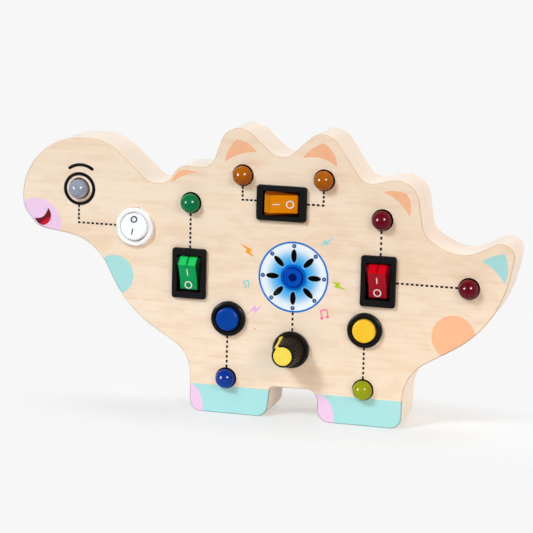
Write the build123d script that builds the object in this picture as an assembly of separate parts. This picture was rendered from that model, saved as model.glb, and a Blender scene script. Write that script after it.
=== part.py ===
from build123d import *

import math
import os

os.makedirs("parts", exist_ok=True)

# All sizes are in millimetres and all angles in degrees. Every piece is drawn in the board's own
# frame: X to the right, Y up and Z out of the front, with Z = 0 on the front face, X = 0 in the
# middle of the board and Y = 0 under the feet. BOARD turns that frame upright for the export.

# ---- Board ------------------------------------------------------------------------------------
FRONT_THICKNESS = 3.0
CORE_THICKNESS = 18.0
BACK_THICKNESS = 3.0
CORE_WALL = 7.0
ROUTER_RADIUS = 3.0
EASED_EDGE = 0.5
LOOP_SLACK = 0.98

FRONT_REAR = -FRONT_THICKNESS
CORE_REAR = FRONT_REAR - CORE_THICKNESS
BOARD_REAR = CORE_REAR - BACK_THICKNESS

# Corners of the outline, clockwise from the top of the head: X, Y and the radius of the rounding.
OUTLINE = [
    (-106.5, 114.2, 26.5),  # crown of the head
    (-68.8, 114.2, 20.0),  # brow
    (-45.1, 92.9, 8.2),  # nape
    (-36.2, 105.2, 6.0),  # shoulder plate
    (-22.6, 104.8, 6.0),  # dip behind the shoulder plate
    (-14.3, 128.2, 8.2),  # first big plate
    (8.0, 108.5, 7.7),  # dip between the big plates
    (26.3, 126.0, 8.2),  # second big plate
    (43.2, 101.5, 7.0),  # dip behind the second big plate
    (64.6, 106.9, 10.0),  # hip plate
    (68.6, 82.0, 10.0),  # rump
    (84.1, 73.5, 16.0),  # top of the tail's root
    (108.5, 85.7, 5.6),  # tip of the tail
    (101.1, 46.5, 48.0),  # underside of the tail
    (62.3, 23.4, 19.0),  # back of the hind leg
    (62.0, 0.0, 5.0),  # hind heel
    (26.3, 0.0, 5.2),  # hind toe
    (25.4, 13.6, 4.5),  # arch, hind side
    (5.4, 13.4, 1.5),  # arch, fore side
    (3.8, 0.0, 5.0),  # fore heel
    (-30.0, 0.0, 5.0),  # fore toe
    (-30.5, 25.1, 15.0),  # front of the fore leg
    (-58.2, 41.6, 51.0),  # chest
    (-73.9, 71.1, 24.0),  # throat
    (-99.5, 74.7, 9.0),  # chin
    (-106.5, 83.2, 11.0),  # snout
]

# ---- Places of the controls and lamps on the front --------------------------------------------
GREEN_SWITCH = (-31.1, 59.5)
AMBER_SWITCH = (8.4, 91.9)
RED_SWITCH = (50.4, 62.1)
WHITE_SWITCH = (-55.5, 77.8)
BLUE_BUTTON = (-13.5, 41.4)
YELLOW_BUTTON = (45.4, 41.1)
KNOB = (14.2, 30.4)
DISC = (14.1, 61.1)
LAMPS = {
    "lamp_eye": (-80.8, 92.4),
    "lamp_green": (-31.1, 89.5),
    "lamp_amber_left": (-8.7, 102.6),
    "lamp_amber_right": (26.1, 102.6),
    "lamp_red_top": (51.1, 87.7),
    "lamp_red_tail": (88.2, 61.8),
    "lamp_blue": (-14.2, 15.5),
    "lamp_lime": (45.3, 15.6),
}

# ---- Dome lamps -------------------------------------------------------------------------------
LAMP_RADIUS = 4.1
LAMP_PROUD = 5.2
LAMP_HOLE_GAP = 0.5
LAMP_FLANGE_RADIUS = 5.2
LAMP_FLANGE_THICKNESS = 1.5
LEAD_SIZE = 0.5
LEAD_PITCH = 2.54
LEAD_LENGTH = 6.0

# ---- Rectangular rocker switches --------------------------------------------------------------
BEZEL_LENGTH = 21.4
BEZEL_WIDTH = 14.8
BEZEL_PROUD = 1.8
BEZEL_CORNER = 1.2
BEZEL_EDGE = 0.5
OPENING_LENGTH = 15.7
OPENING_WIDTH = 10.5
SWITCH_BODY_LENGTH = 18.7
SWITCH_BODY_WIDTH = 12.7
SWITCH_BODY_DEPTH = 12.5
SWITCH_FLOOR = 1.2
CUTOUT_GAP = 0.15
WING_WIDTH = 6.0
WING_REACH = 0.7
WING_DEPTH = 5.0

ROCKER_PIVOT = -1.0
ROCKER_TILT = 20.0
ROCKER_CREST_REACH = 5.9
ROCKER_CREST_HEIGHT = 4.1
ROCKER_DIP = 0.7
ROCKER_FACE_WIDTH = 7.4
ROCKER_SHOULDER_HEIGHT = 1.5
ROCKER_SHOULDER_REACH = 6.3
ROCKER_END_GAP = 0.3
ROCKER_END_TAPER = 0.3
ROCKER_CHEEK_SET = 0.4
ROCKER_SIDE_GAP = 0.25
ROCKER_SKIRT = 2.0
ROCKER_WALL = 1.1
ROCKER_EDGE = 0.3
PIVOT_RADIUS = 0.9
PIVOT_GAP = 0.05
PIVOT_BITE = 0.7

BLADE_WIDTH = 4.8
BLADE_THICKNESS = 0.8
BLADE_REACH = 6.6
BLADE_PITCH = 6.2
BLADE_GAP = 0.05

# ---- Round rocker switch ----------------------------------------------------------------------
ROUND_RADIUS = 8.15
ROUND_PROUD = 2.0
ROUND_OPENING_RADIUS = 6.15
ROUND_BODY_RADIUS = 6.9
ROUND_EDGE = 0.7
ROUND_PIVOT = 0.3
ROUND_TILT = 14.0
ROUND_ROCKER_RADIUS = 6.0
ROUND_ROCKER_FACE = 2.2
ROUND_ROCKER_SKIRT = 2.4
KEYWAY_WIDTH = 4.0
KEYWAY_REACH = 8.2

# ---- Push buttons -----------------------------------------------------------------------------
BUTTON_RING_RADIUS = 7.4
BUTTON_RING_PROUD = 2.0
BUTTON_RING_EDGE = 0.8
BUTTON_THREAD_RADIUS = 6.2
BUTTON_HOLE_GAP = 0.1
BUTTON_BARREL_DEPTH = 14.0
BUTTON_FLOOR = 2.5
CAP_RADIUS = 4.9
CAP_PROUD = 3.3
CAP_EDGE = 0.8
CAP_GUIDE_GAP = 0.1
CAP_FLANGE_RADIUS = 5.4
CAP_FLANGE_THICKNESS = 1.2
CAP_LIP_DEPTH = 2.0
FUNNEL_RADIUS = 6.0
FUNNEL_DEPTH = 0.8
SPRING_RADIUS = 3.4
SPRING_WIRE_RADIUS = 0.25
SPRING_TURNS = 3
SEAT_GAP = 0.05
BUTTON_NUT_FLATS = 15.0
BUTTON_NUT_THICKNESS = 2.5
BUTTON_PIN_WIDTH = 2.8
BUTTON_PIN_THICKNESS = 0.5
BUTTON_PIN_REACH = 5.0
BUTTON_PIN_PITCH = 5.0

# ---- Rotary control and its knob --------------------------------------------------------------
POT_RADIUS = 8.2
POT_DEPTH = 8.5
POT_EDGE = 0.8
POT_BUSH_RADIUS = 3.5
POT_BUSH_PROUD = 3.9
POT_HOLE_GAP = 0.1
POT_NUT_FLATS = 9.6
POT_NUT_THICKNESS = 2.0
POT_WASHER_RADIUS = 5.5
POT_WASHER_THICKNESS = 0.5
SHAFT_RADIUS = 3.0
SHAFT_GAP = 0.05
SHAFT_FLAT = 1.5
SHAFT_REAR_MARGIN = 1.5
LUG_WIDTH = 1.8
LUG_THICKNESS = 0.6
LUG_PITCH = 5.0
LUG_REACH = 5.5
LUG_ROOT = 3.8

KNOB_CLEARANCE = 0.5
KNOB_HEIGHT = 14.4
KNOB_SKIRT_RADIUS = 7.8
KNOB_SKIRT_TOP_RADIUS = 6.9
KNOB_SKIRT_HEIGHT = 2.6
KNOB_SKIRT_EDGE = 1.5
KNOB_BODY_RADIUS = 6.4
KNOB_TOP_RADIUS = 4.8
KNOB_TOP_EDGE = 0.4
KNOB_HOLLOW_RADIUS = 6.0
KNOB_HOLLOW_ROOF = 2.4
KNOB_BUSH_ROOF = 4.2
KNOB_BUSH_GAP = 0.4
KNOB_CROWN = 1.4
FLUTES = 24
FLUTE_DEPTH = 0.2
POINTER_ANGLE = 125.0
POINTER_DISC_RADIUS = 3.9
POINTER_DEPTH = 0.6
POINTER_LINE = 1.5
POINTER_NECK = 2.4

# ---- Sound disc in the middle -----------------------------------------------------------------
SLOTS = 8
SLOT_LENGTH = 5.6
SLOT_WIDTH = 2.45
SLOT_CIRCLE = 9.0
LENS_FLANGE_RADIUS = 5.5
LENS_FLANGE_THICKNESS = 0.6
LENS_RADIUS = 4.3
LENS_PROUD = 1.4
LENS_STEM_RADIUS = 4.0
LENS_STEM_DEPTH = 1.7
LENS_HOLE_GAP = 0.1
LENS_EDGE = 0.5
LENS_BEADS = 36
LENS_BEAD_DEPTH = 0.2
LENS_DISH_RADIUS = 3.5
LENS_DISH_DEPTH = 0.3
LENS_HEX_FLATS = 3.3
LENS_HEX_DEPTH = 0.7
CHIP_SIZE = (3.5, 2.8)
CHIP_HEIGHT = 1.1
SOUND_BOARD_RADIUS = 15.5
SOUND_BOARD_THICKNESS = 1.2
SOUND_SCREWS = 4
SOUND_SCREW_CIRCLE = 14.0
SOUND_SCREW_RADIUS = 0.8
SOUND_SCREW_BITE = 2.2
SOUND_SCREW_HEAD_RADIUS = 1.4
SOUND_SCREW_HEAD = 1.0
SPEAKER_RADIUS = 12.1
SPEAKER_RIM = 1.0
SPEAKER_WALL = 0.8
SPEAKER_MAGNET_RADIUS = 7.0
SPEAKER_CONE_DEPTH = 2.4
SPEAKER_DEPTH = 5.0

# ---- Battery box, let into the back -----------------------------------------------------------
BATTERY_PLACE = (9.8, 66.2)
CELLS = 3
CELL_RADIUS = 5.25
CELL_LENGTH = 43.4
CELL_NUB_RADIUS = 1.9
CELL_NUB = 0.9
CELL_PITCH = 10.9
CELL_GAP = 0.3
CONTACT_ROOM = 5.4
BOX_WALL = 1.5
BOX_FLOOR = 1.2
BOSS_WIDTH = 6.5
BOX_FLANGE = 4.0
BOX_FLANGE_PROUD = 1.5
BOX_CORNER = 3.0
BOX_GAP = 0.15
DOOR_THICKNESS = 1.6
DOOR_GAP = 0.3
DOOR_LEDGE = 1.0
DOOR_CORNER = 2.0
DOOR_SCREW_RADIUS = 1.0
DOOR_SCREW_GAP = 0.1
DOOR_SCREW_BITE = 6.0
DOOR_SCREW_INSET = 2.6
DOOR_SCREW_HEAD_RADIUS = 1.9
DOOR_SCREW_HEAD = 0.9
CONTACT_RADIUS = 2.6
CONTACT_WIRE_RADIUS = 0.25
CONTACT_TURNS = 2
PLATE_SIZE = 8.0
PLATE_THICKNESS = 0.3

# ---- Wood screws through the back -------------------------------------------------------------
BACK_SCREWS = 10
SCREW_RADIUS = 1.3
SCREW_GAP = 0.05
SCREW_HEAD_RADIUS = 2.6
SCREW_LENGTH = 14.0
SCREW_SINK = 0.1

# ---- The board's frame ------------------------------------------------------------------------
KNOB_TIP = KNOB_CLEARANCE + KNOB_HEIGHT
BACK_TIP = BOARD_REAR - BOX_FLANGE_PROUD
BOARD = Plane(origin=(0, (KNOB_TIP + BACK_TIP) / 2, 0), x_dir=(1, 0, 0), z_dir=(0, -1, 0))


def save(name, *solids):
    """Turn the solids of one node upright and write them as one STEP file."""
    upright = [BOARD.location * solid for solid in solids]
    shape = upright[0] if len(upright) == 1 else Compound(children=upright)
    export_step(shape, f"parts/{name}.step")


# ---- Shapes used throughout -------------------------------------------------------------------
def corner_reaches(corners):
    """Length of straight run that each corner's rounding takes, kept within the runs."""
    count = len(corners)
    points = [Vector(x, y) for x, y, _ in corners]
    reaches = []
    for i, (_, _, radius) in enumerate(corners):
        before = points[i - 1] - points[i]
        after = points[(i + 1) % count] - points[i]
        turn = 180 - before.get_angle(after)
        reaches.append(radius * math.tan(math.radians(turn / 2)))
    room = []
    for i in range(count):
        run = (points[(i + 1) % count] - points[i]).length
        room.append(min(1.0, LOOP_SLACK * run / (reaches[i] + reaches[(i + 1) % count])))
    return [reaches[i] * min(room[i], room[i - 1]) for i in range(count)]


def rounded_face(corners):
    """Face bounded by straight runs between the corners, with a tangent arc at each corner."""
    count = len(corners)
    points = [Vector(x, y) for x, y, _ in corners]
    reaches = corner_reaches(corners)
    starts, middles, ends = [], [], []
    for i in range(count):
        before = (points[i - 1] - points[i]).normalized()
        after = (points[(i + 1) % count] - points[i]).normalized()
        half_turn = math.radians(90 - before.get_angle(after) / 2)
        radius = reaches[i] / math.tan(half_turn)
        inward = (before + after).normalized()
        starts.append(points[i] + before * reaches[i])
        middles.append(points[i] + inward * (radius / math.cos(half_turn) - radius))
        ends.append(points[i] + after * reaches[i])
    edges = []
    for i in range(count):
        edges.append(Edge.make_three_point_arc(starts[i], middles[i], ends[i]))
        edges.append(Edge.make_line(ends[i], starts[(i + 1) % count]))
    return Face(Wire(edges))


def inset_corners(corners, inset, smallest_radius):
    """Corners of the loop that runs inside a clockwise loop at a given distance."""
    count = len(corners)
    points = [Vector(x, y) for x, y, _ in corners]
    inner = []
    for i, (_, _, radius) in enumerate(corners):
        arriving = (points[i] - points[i - 1]).normalized()
        leaving = (points[(i + 1) % count] - points[i]).normalized()
        arriving_side = Vector(arriving.Y, -arriving.X)
        leaving_side = Vector(leaving.Y, -leaving.X)
        shift = (arriving_side + leaving_side) * (inset / (1 + arriving_side.dot(leaving_side)))
        place = points[i] + shift
        bulges = arriving.X * leaving.Y - arriving.Y * leaving.X < 0
        new_radius = max(radius - inset, smallest_radius) if bulges else radius + inset
        inner.append((place.X, place.Y, new_radius))
    return inner


def slab(face, front, rear):
    """Solid of a flat face between two levels."""
    return extrude(Pos(0, 0, rear) * face, amount=front - rear, dir=(0, 0, 1))


def post(radius, front, rear):
    """Cylinder along Z between two levels."""
    return Pos(0, 0, (front + rear) / 2) * Cylinder(radius, front - rear)


def block(length_x, length_y, front, rear):
    """Box centred on the Z axis between two levels."""
    return Pos(0, 0, (front + rear) / 2) * Box(length_x, length_y, front - rear)


def turned(*points):
    """Solid turned about Z from a closed profile of radius and level."""
    return revolve(Plane.XZ * make_face(Polyline(*points, close=True)), Axis.Z)


def hexagon(flats, front, rear):
    """Hexagonal prism along Z, measured across its flats."""
    return slab(RegularPolygon(flats / 2, 6, major_radius=False), front, rear)


def at(place, solid):
    """Solid moved to a place on the board."""
    return Pos(*place) * solid


def fluted_face(radius, flutes, depth, level):
    """Round section with vee flutes, at a level."""
    corners = []
    for i in range(2 * flutes):
        reach = radius if i % 2 == 0 else radius - depth
        corners.append(Vector(reach, 0).rotate(Axis.Z, i * 180 / flutes))
    return Pos(0, 0, level) * make_face(Polyline(*corners, close=True))


def coil(radius, wire_radius, front, rear, turns):
    """Coil spring of six-sided wire between two levels."""
    pitch = (front - rear - 2 * wire_radius) / turns
    path = Helix(pitch, pitch * turns, radius, center=(0, 0, rear + wire_radius))
    section = Plane(origin=path @ 0, z_dir=path % 0) * RegularPolygon(wire_radius, 6)
    return sweep(section, path)


# ---- Board ------------------------------------------------------------------------------------
def slot_pattern(front, rear):
    """Ring of long slots, pointing at the middle of the disc."""
    face = Ellipse(SLOT_LENGTH / 2, SLOT_WIDTH / 2)
    ring = Sketch() + [
        Rot(0, 0, i * 360 / SLOTS) * Pos(SLOT_CIRCLE, 0) * face for i in range(SLOTS)
    ]
    return slab(ring, front, rear)


def switch_cutout(front, rear):
    """Rectangular panel cut-out for a rocker switch that stands upright."""
    return block(
        SWITCH_BODY_WIDTH + 2 * CUTOUT_GAP, SWITCH_BODY_LENGTH + 2 * CUTOUT_GAP, front, rear
    )


def white_cutout(front, rear):
    """Round panel hole with a key notch at the top."""
    hole = post(ROUND_BODY_RADIUS + CUTOUT_GAP, front, rear)
    notch = Pos(0, KEYWAY_REACH / 2) * block(KEYWAY_WIDTH, KEYWAY_REACH, front, rear)
    return hole + notch


def sound_screw_places():
    """Places of the sound board's screws, between the slots."""
    step = 360 / SOUND_SCREWS
    first = 180 / SLOTS
    return [Rot(0, 0, first + i * step) * Pos(SOUND_SCREW_CIRCLE, 0) for i in range(SOUND_SCREWS)]


def front_panel():
    """Thin printed panel with a hole for every control and lamp."""
    panel = slab(rounded_face(OUTLINE), 0, FRONT_REAR)
    panel = chamfer(panel.faces().sort_by(Axis.Z)[-1].edges(), EASED_EDGE)
    for place in LAMPS.values():
        panel -= at(place, post(LAMP_RADIUS + LAMP_HOLE_GAP, 0, FRONT_REAR))
    panel -= at(GREEN_SWITCH, switch_cutout(0, FRONT_REAR))
    panel -= at(RED_SWITCH, switch_cutout(0, FRONT_REAR))
    panel -= at(AMBER_SWITCH, Rot(0, 0, 90) * switch_cutout(0, FRONT_REAR))
    panel -= at(WHITE_SWITCH, white_cutout(0, FRONT_REAR))
    for place in (BLUE_BUTTON, YELLOW_BUTTON):
        panel -= at(place, post(BUTTON_THREAD_RADIUS + BUTTON_HOLE_GAP, 0, FRONT_REAR))
    panel -= at(KNOB, post(POT_BUSH_RADIUS + POT_HOLE_GAP, 0, FRONT_REAR))
    panel -= at(DISC, post(LENS_STEM_RADIUS + LENS_HOLE_GAP, 0, FRONT_REAR))
    panel -= at(DISC, slot_pattern(0, FRONT_REAR))
    pilot = post(SOUND_SCREW_RADIUS + SCREW_GAP, FRONT_REAR + SOUND_SCREW_BITE, FRONT_REAR)
    for place in sound_screw_places():
        panel -= at(DISC, place * pilot)
    return panel


def back_screw_places():
    """Places of the back's screws, evenly along the middle of the core's wall."""
    path = rounded_face(inset_corners(OUTLINE, CORE_WALL / 2, ROUTER_RADIUS)).outer_wire()
    return [path.position_at((i + 0.5) / BACK_SCREWS) for i in range(BACK_SCREWS)]


def back_screw_shape(gap, rear):
    """Countersunk screw behind a level, or with a gap the room that it needs."""
    radius = SCREW_RADIUS + gap
    head = SCREW_HEAD_RADIUS + gap + BOARD_REAR + SCREW_SINK - rear
    neck = rear + head - radius
    tip = BOARD_REAR + SCREW_LENGTH + gap
    return turned((0, rear), (head, rear), (radius, neck), (radius, tip), (0, tip))


def core_frame():
    """Thick ring with the outline's shape, which leaves one routed cavity for the works."""
    ring = rounded_face(OUTLINE) - rounded_face(inset_corners(OUTLINE, CORE_WALL, ROUTER_RADIUS))
    core = slab(ring, FRONT_REAR, CORE_REAR)
    for place in back_screw_places():
        core -= Pos(place.X, place.Y) * back_screw_shape(SCREW_GAP, BOARD_REAR)
    return core


def back_panel():
    """Thin back panel with countersunk holes and the battery box's cut-out."""
    panel = slab(rounded_face(OUTLINE), CORE_REAR, BOARD_REAR)
    panel = chamfer(panel.faces().sort_by(Axis.Z)[0].edges(), EASED_EDGE)
    for place in back_screw_places():
        panel -= Pos(place.X, place.Y) * back_screw_shape(SCREW_GAP, BOARD_REAR)
    length, width = box_outer_size()
    panel -= at(BATTERY_PLACE, block(length + 2 * BOX_GAP, width + 2 * BOX_GAP, CORE_REAR, BOARD_REAR))
    pilot = post(SOUND_SCREW_RADIUS + SCREW_GAP, BOARD_REAR + SOUND_SCREW_BITE, BOARD_REAR)
    for place in flange_screw_places():
        panel -= at(BATTERY_PLACE, place * pilot)
    return panel


def back_panel_screws():
    """Countersunk wood screws, a little below the back's face."""
    screw = back_screw_shape(0, BOARD_REAR + SCREW_SINK)
    return [Pos(place.X, place.Y) * screw for place in back_screw_places()]


# ---- Lamps ------------------------------------------------------------------------------------
def lamp():
    """Dome lamp: a flange behind the panel, a straight body and a round end."""
    flange_rear = FRONT_REAR - LAMP_FLANGE_THICKNESS
    shoulder = LAMP_PROUD - LAMP_RADIUS
    outline = Polyline(
        (0, LAMP_PROUD), (0, flange_rear), (LAMP_FLANGE_RADIUS, flange_rear),
        (LAMP_FLANGE_RADIUS, FRONT_REAR), (LAMP_RADIUS, FRONT_REAR), (LAMP_RADIUS, shoulder),
    )
    dome = CenterArc((0, shoulder), LAMP_RADIUS, 0, 90)
    return revolve(Plane.XZ * make_face(outline + dome), Axis.Z)


def lamp_leads():
    """The two square leads of each lamp, out of the back of its flange."""
    root = FRONT_REAR - LAMP_FLANGE_THICKNESS
    lead = block(LEAD_SIZE, LEAD_SIZE, root, root - LEAD_LENGTH)
    leads = []
    for place in LAMPS.values():
        for side in (-1, 1):
            leads.append(at(place, Pos(side * LEAD_PITCH / 2, 0) * lead))
    return leads


# ---- Rectangular rocker switches --------------------------------------------------------------
def switch_wing():
    """Sprung wedge on the housing's end, which grips behind the panel."""
    edge = SWITCH_BODY_LENGTH / 2
    wedge = Polyline(
        (edge, FRONT_REAR), (edge + WING_REACH, FRONT_REAR), (edge, FRONT_REAR - WING_DEPTH),
        close=True,
    )
    return extrude(Plane.YZ * make_face(wedge), amount=WING_WIDTH / 2, both=True)


def blade_slots(count, pitch, width, thickness, front, rear):
    """Row of flat blades across a switch, along its length."""
    blade = block(width, thickness, front, rear)
    first = -(count - 1) / 2 * pitch
    return [Pos(0, first + i * pitch) * blade for i in range(count)]


def switch_housing():
    """Moulded housing: a bezel, a deep body with a floor, pivot holes and gripping wings."""
    bezel = block(BEZEL_WIDTH, BEZEL_LENGTH, BEZEL_PROUD, 0)
    bezel = fillet(bezel.edges().filter_by(Axis.Z), BEZEL_CORNER)
    bezel = fillet(bezel.faces().sort_by(Axis.Z)[-1].edges(), BEZEL_EDGE)
    body = block(SWITCH_BODY_WIDTH, SWITCH_BODY_LENGTH, 0, -SWITCH_BODY_DEPTH)
    housing = bezel + body + switch_wing() + Rot(0, 0, 180) * switch_wing()
    floor = -SWITCH_BODY_DEPTH + SWITCH_FLOOR
    housing -= block(OPENING_WIDTH, OPENING_LENGTH, BEZEL_PROUD, floor)
    pivot = Cylinder(PIVOT_RADIUS + PIVOT_GAP, OPENING_WIDTH + 2 * PIVOT_BITE, rotation=(0, 90, 0))
    housing -= Pos(0, 0, ROCKER_PIVOT) * pivot
    for slot in blade_slots(
        3, BLADE_PITCH, BLADE_WIDTH + 2 * BLADE_GAP, BLADE_THICKNESS + 2 * BLADE_GAP,
        floor, -SWITCH_BODY_DEPTH,
    ):
        housing -= slot
    return housing


def rocker_profile(across, crest, shoulder_end, dip):
    """Side profile of the rocker about its pivot, at a distance across from its middle."""
    reach, height = crest
    foot = -ROCKER_SKIRT
    foot_end = shoulder_end - ROCKER_END_TAPER
    face = ThreePointArc((-reach, height), (0, height - dip), (reach, height))
    rest = Polyline(
        (reach, height), (shoulder_end, 0), (foot_end, foot),
        (-foot_end, foot), (-shoulder_end, 0), (-reach, height),
    )
    return Plane.YZ.offset(across) * make_face(face + rest)


def rocker_solid(shrink):
    """Solid of the rocker: a band with the full profile, and a cheek lofted down on each side."""
    band = ROCKER_FACE_WIDTH / 2 - shrink
    base = OPENING_WIDTH / 2 - ROCKER_SIDE_GAP - shrink
    end = OPENING_LENGTH / 2 - ROCKER_END_GAP - shrink
    crest = (ROCKER_CREST_REACH - shrink, ROCKER_CREST_HEIGHT - shrink)
    shoulder = (ROCKER_SHOULDER_REACH - shrink, ROCKER_SHOULDER_HEIGHT - shrink)
    middle = extrude(rocker_profile(0, crest, end, ROCKER_DIP), amount=band, both=True)
    cheek = loft([
        rocker_profile(band, crest, end, ROCKER_DIP),
        rocker_profile(base, shoulder, end - ROCKER_CHEEK_SET, ROCKER_DIP / 2),
    ], ruled=True)
    return middle + cheek + Rot(0, 0, 180) * cheek


def switch_rocker():
    """Hollow rocker with pivot pins, upright, with its lower end pressed in."""
    shell = rocker_solid(0)
    crests = shell.edges().filter_by(Axis.X).group_by(Axis.Z)[-1]
    shell = fillet(crests, ROCKER_EDGE)
    shell -= rocker_solid(ROCKER_WALL)
    inner = OPENING_WIDTH / 2 - ROCKER_SIDE_GAP - ROCKER_WALL / 2
    outer = OPENING_WIDTH / 2 + PIVOT_BITE - PIVOT_GAP
    pin = Pos((inner + outer) / 2, 0) * Cylinder(PIVOT_RADIUS, outer - inner, rotation=(0, 90, 0))
    rocker = shell + pin + Rot(0, 0, 180) * pin
    return Pos(0, 0, ROCKER_PIVOT) * Rot(ROCKER_TILT, 0, 0) * rocker


def switch_terminals():
    """Flat blades through the switch's floor."""
    root = -SWITCH_BODY_DEPTH + SWITCH_FLOOR
    tip = -SWITCH_BODY_DEPTH - BLADE_REACH
    return blade_slots(3, BLADE_PITCH, BLADE_WIDTH, BLADE_THICKNESS, root, tip)


# ---- Round rocker switch ----------------------------------------------------------------------
def white_switch_housing():
    """Round housing with a thick rim."""
    rim = post(ROUND_RADIUS, ROUND_PROUD, 0) - post(ROUND_OPENING_RADIUS, ROUND_PROUD, 0)
    rim = fillet(rim.faces().sort_by(Axis.Z)[-1].edges(), ROUND_EDGE)
    housing = rim + post(ROUND_BODY_RADIUS, 0, -SWITCH_BODY_DEPTH)
    floor = -SWITCH_BODY_DEPTH + SWITCH_FLOOR
    housing -= post(ROUND_OPENING_RADIUS, ROUND_PROUD, floor)
    reach = ROUND_OPENING_RADIUS + PIVOT_BITE / 2
    pivot = Cylinder(PIVOT_RADIUS + PIVOT_GAP, 2 * reach, rotation=(0, 90, 0))
    housing -= Pos(0, 0, ROUND_PIVOT) * pivot
    for slot in blade_slots(
        2, BLADE_PITCH, BLADE_WIDTH + 2 * BLADE_GAP, BLADE_THICKNESS + 2 * BLADE_GAP,
        floor, -SWITCH_BODY_DEPTH,
    ):
        housing -= slot
    return housing


def white_switch_rocker():
    """Round rocker with a flat face and ball-shaped sides, its upper end pressed in."""
    room = block(
        2 * ROUND_ROCKER_RADIUS, 2 * ROUND_ROCKER_RADIUS, ROUND_ROCKER_FACE, -ROUND_ROCKER_SKIRT
    )
    button = Sphere(ROUND_ROCKER_RADIUS) & room
    button = fillet(button.faces().sort_by(Axis.Z)[-1].edges(), ROCKER_EDGE)
    outer = ROUND_OPENING_RADIUS + PIVOT_BITE / 2 - PIVOT_GAP
    inner = ROUND_ROCKER_RADIUS - ROCKER_WALL
    pin = Pos((inner + outer) / 2, 0) * Cylinder(PIVOT_RADIUS, outer - inner, rotation=(0, 90, 0))
    rocker = button + pin + Rot(0, 0, 180) * pin
    return Pos(0, 0, ROUND_PIVOT) * Rot(-ROUND_TILT, 0, 0) * rocker


def white_switch_terminals():
    """Two flat blades through the round switch's floor."""
    root = -SWITCH_BODY_DEPTH + SWITCH_FLOOR
    tip = -SWITCH_BODY_DEPTH - BLADE_REACH
    return blade_slots(2, BLADE_PITCH, BLADE_WIDTH, BLADE_THICKNESS, root, tip)


# ---- Push buttons -----------------------------------------------------------------------------
BUTTON_FLOOR_LEVEL = -BUTTON_BARREL_DEPTH + BUTTON_FLOOR
CAP_FLANGE_FRONT = -CAP_LIP_DEPTH - SEAT_GAP
CAP_FLANGE_REAR = CAP_FLANGE_FRONT - CAP_FLANGE_THICKNESS


def button_housing():
    """Rounded ring on a threaded barrel, with a funnel mouth and a lip that holds the cap."""
    ring = post(BUTTON_RING_RADIUS, BUTTON_RING_PROUD, 0)
    ring = fillet(ring.faces().sort_by(Axis.Z)[-1].edges(), BUTTON_RING_EDGE)
    housing = ring + post(BUTTON_THREAD_RADIUS, 0, -BUTTON_BARREL_DEPTH)
    bore = CAP_RADIUS + CAP_GUIDE_GAP
    room = CAP_FLANGE_RADIUS + CAP_GUIDE_GAP
    housing -= turned(
        (0, BUTTON_RING_PROUD), (FUNNEL_RADIUS, BUTTON_RING_PROUD),
        (bore, BUTTON_RING_PROUD - FUNNEL_DEPTH), (bore, -CAP_LIP_DEPTH),
        (room, -CAP_LIP_DEPTH), (room, BUTTON_FLOOR_LEVEL), (0, BUTTON_FLOOR_LEVEL),
    )
    for slot in button_pins(BLADE_GAP):
        housing -= slot
    return housing


def button_pins(gap):
    """The two solder pins through the barrel's floor, or with a gap their slots."""
    width = BUTTON_PIN_WIDTH + 2 * gap
    thickness = BUTTON_PIN_THICKNESS + 2 * gap
    tip = -BUTTON_BARREL_DEPTH - BUTTON_PIN_REACH
    return blade_slots(2, BUTTON_PIN_PITCH, width, thickness, BUTTON_FLOOR_LEVEL, tip)


def button_cap():
    """Cap with a flange that rests under the housing's lip."""
    cap = post(CAP_RADIUS, CAP_PROUD, CAP_FLANGE_REAR)
    cap = fillet(cap.faces().sort_by(Axis.Z)[-1].edges(), CAP_EDGE)
    return cap + post(CAP_FLANGE_RADIUS, CAP_FLANGE_FRONT, CAP_FLANGE_REAR)


def button_spring():
    """Return spring between the cap's flange and the barrel's floor."""
    front = CAP_FLANGE_REAR - SEAT_GAP
    return coil(SPRING_RADIUS, SPRING_WIRE_RADIUS, front, BUTTON_FLOOR_LEVEL + SEAT_GAP, SPRING_TURNS)


def button_nut():
    """Hexagonal nut that holds the button from behind the panel."""
    nut = hexagon(BUTTON_NUT_FLATS, FRONT_REAR, FRONT_REAR - BUTTON_NUT_THICKNESS)
    bore = BUTTON_THREAD_RADIUS + SCREW_GAP
    return nut - post(bore, FRONT_REAR, FRONT_REAR - BUTTON_NUT_THICKNESS)


# ---- Rotary control ---------------------------------------------------------------------------
POT_REAR = FRONT_REAR - POT_DEPTH


def flatted_post(radius, flat, front, rear):
    """Round post with one flat, at a given distance from its axis."""
    cut = Pos(0, flat + radius) * block(2 * radius, 2 * radius, front, rear)
    return post(radius, front, rear) - cut


def lug_row(gap):
    """The three lugs at the top of the control's body, or with a gap their slots."""
    width = LUG_WIDTH + 2 * gap
    thickness = LUG_THICKNESS + 2 * gap
    level = (FRONT_REAR + POT_REAR) / 2
    low = POT_RADIUS - LUG_ROOT - gap
    high = POT_RADIUS + LUG_REACH
    lug = Pos(0, (low + high) / 2, level) * Box(width, high - low, thickness)
    return [Pos(i * LUG_PITCH) * lug for i in (-1, 0, 1)]


def pot_body():
    """Round can behind the panel with the threaded bush that passes through it."""
    body = post(POT_RADIUS, FRONT_REAR, POT_REAR)
    body = chamfer(body.faces().sort_by(Axis.Z)[0].edges(), POT_EDGE)
    body += post(POT_BUSH_RADIUS, POT_BUSH_PROUD, FRONT_REAR)
    body -= post(SHAFT_RADIUS + SHAFT_GAP, POT_BUSH_PROUD, POT_REAR + SHAFT_REAR_MARGIN)
    for slot in lug_row(BLADE_GAP):
        body -= slot
    return body


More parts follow.
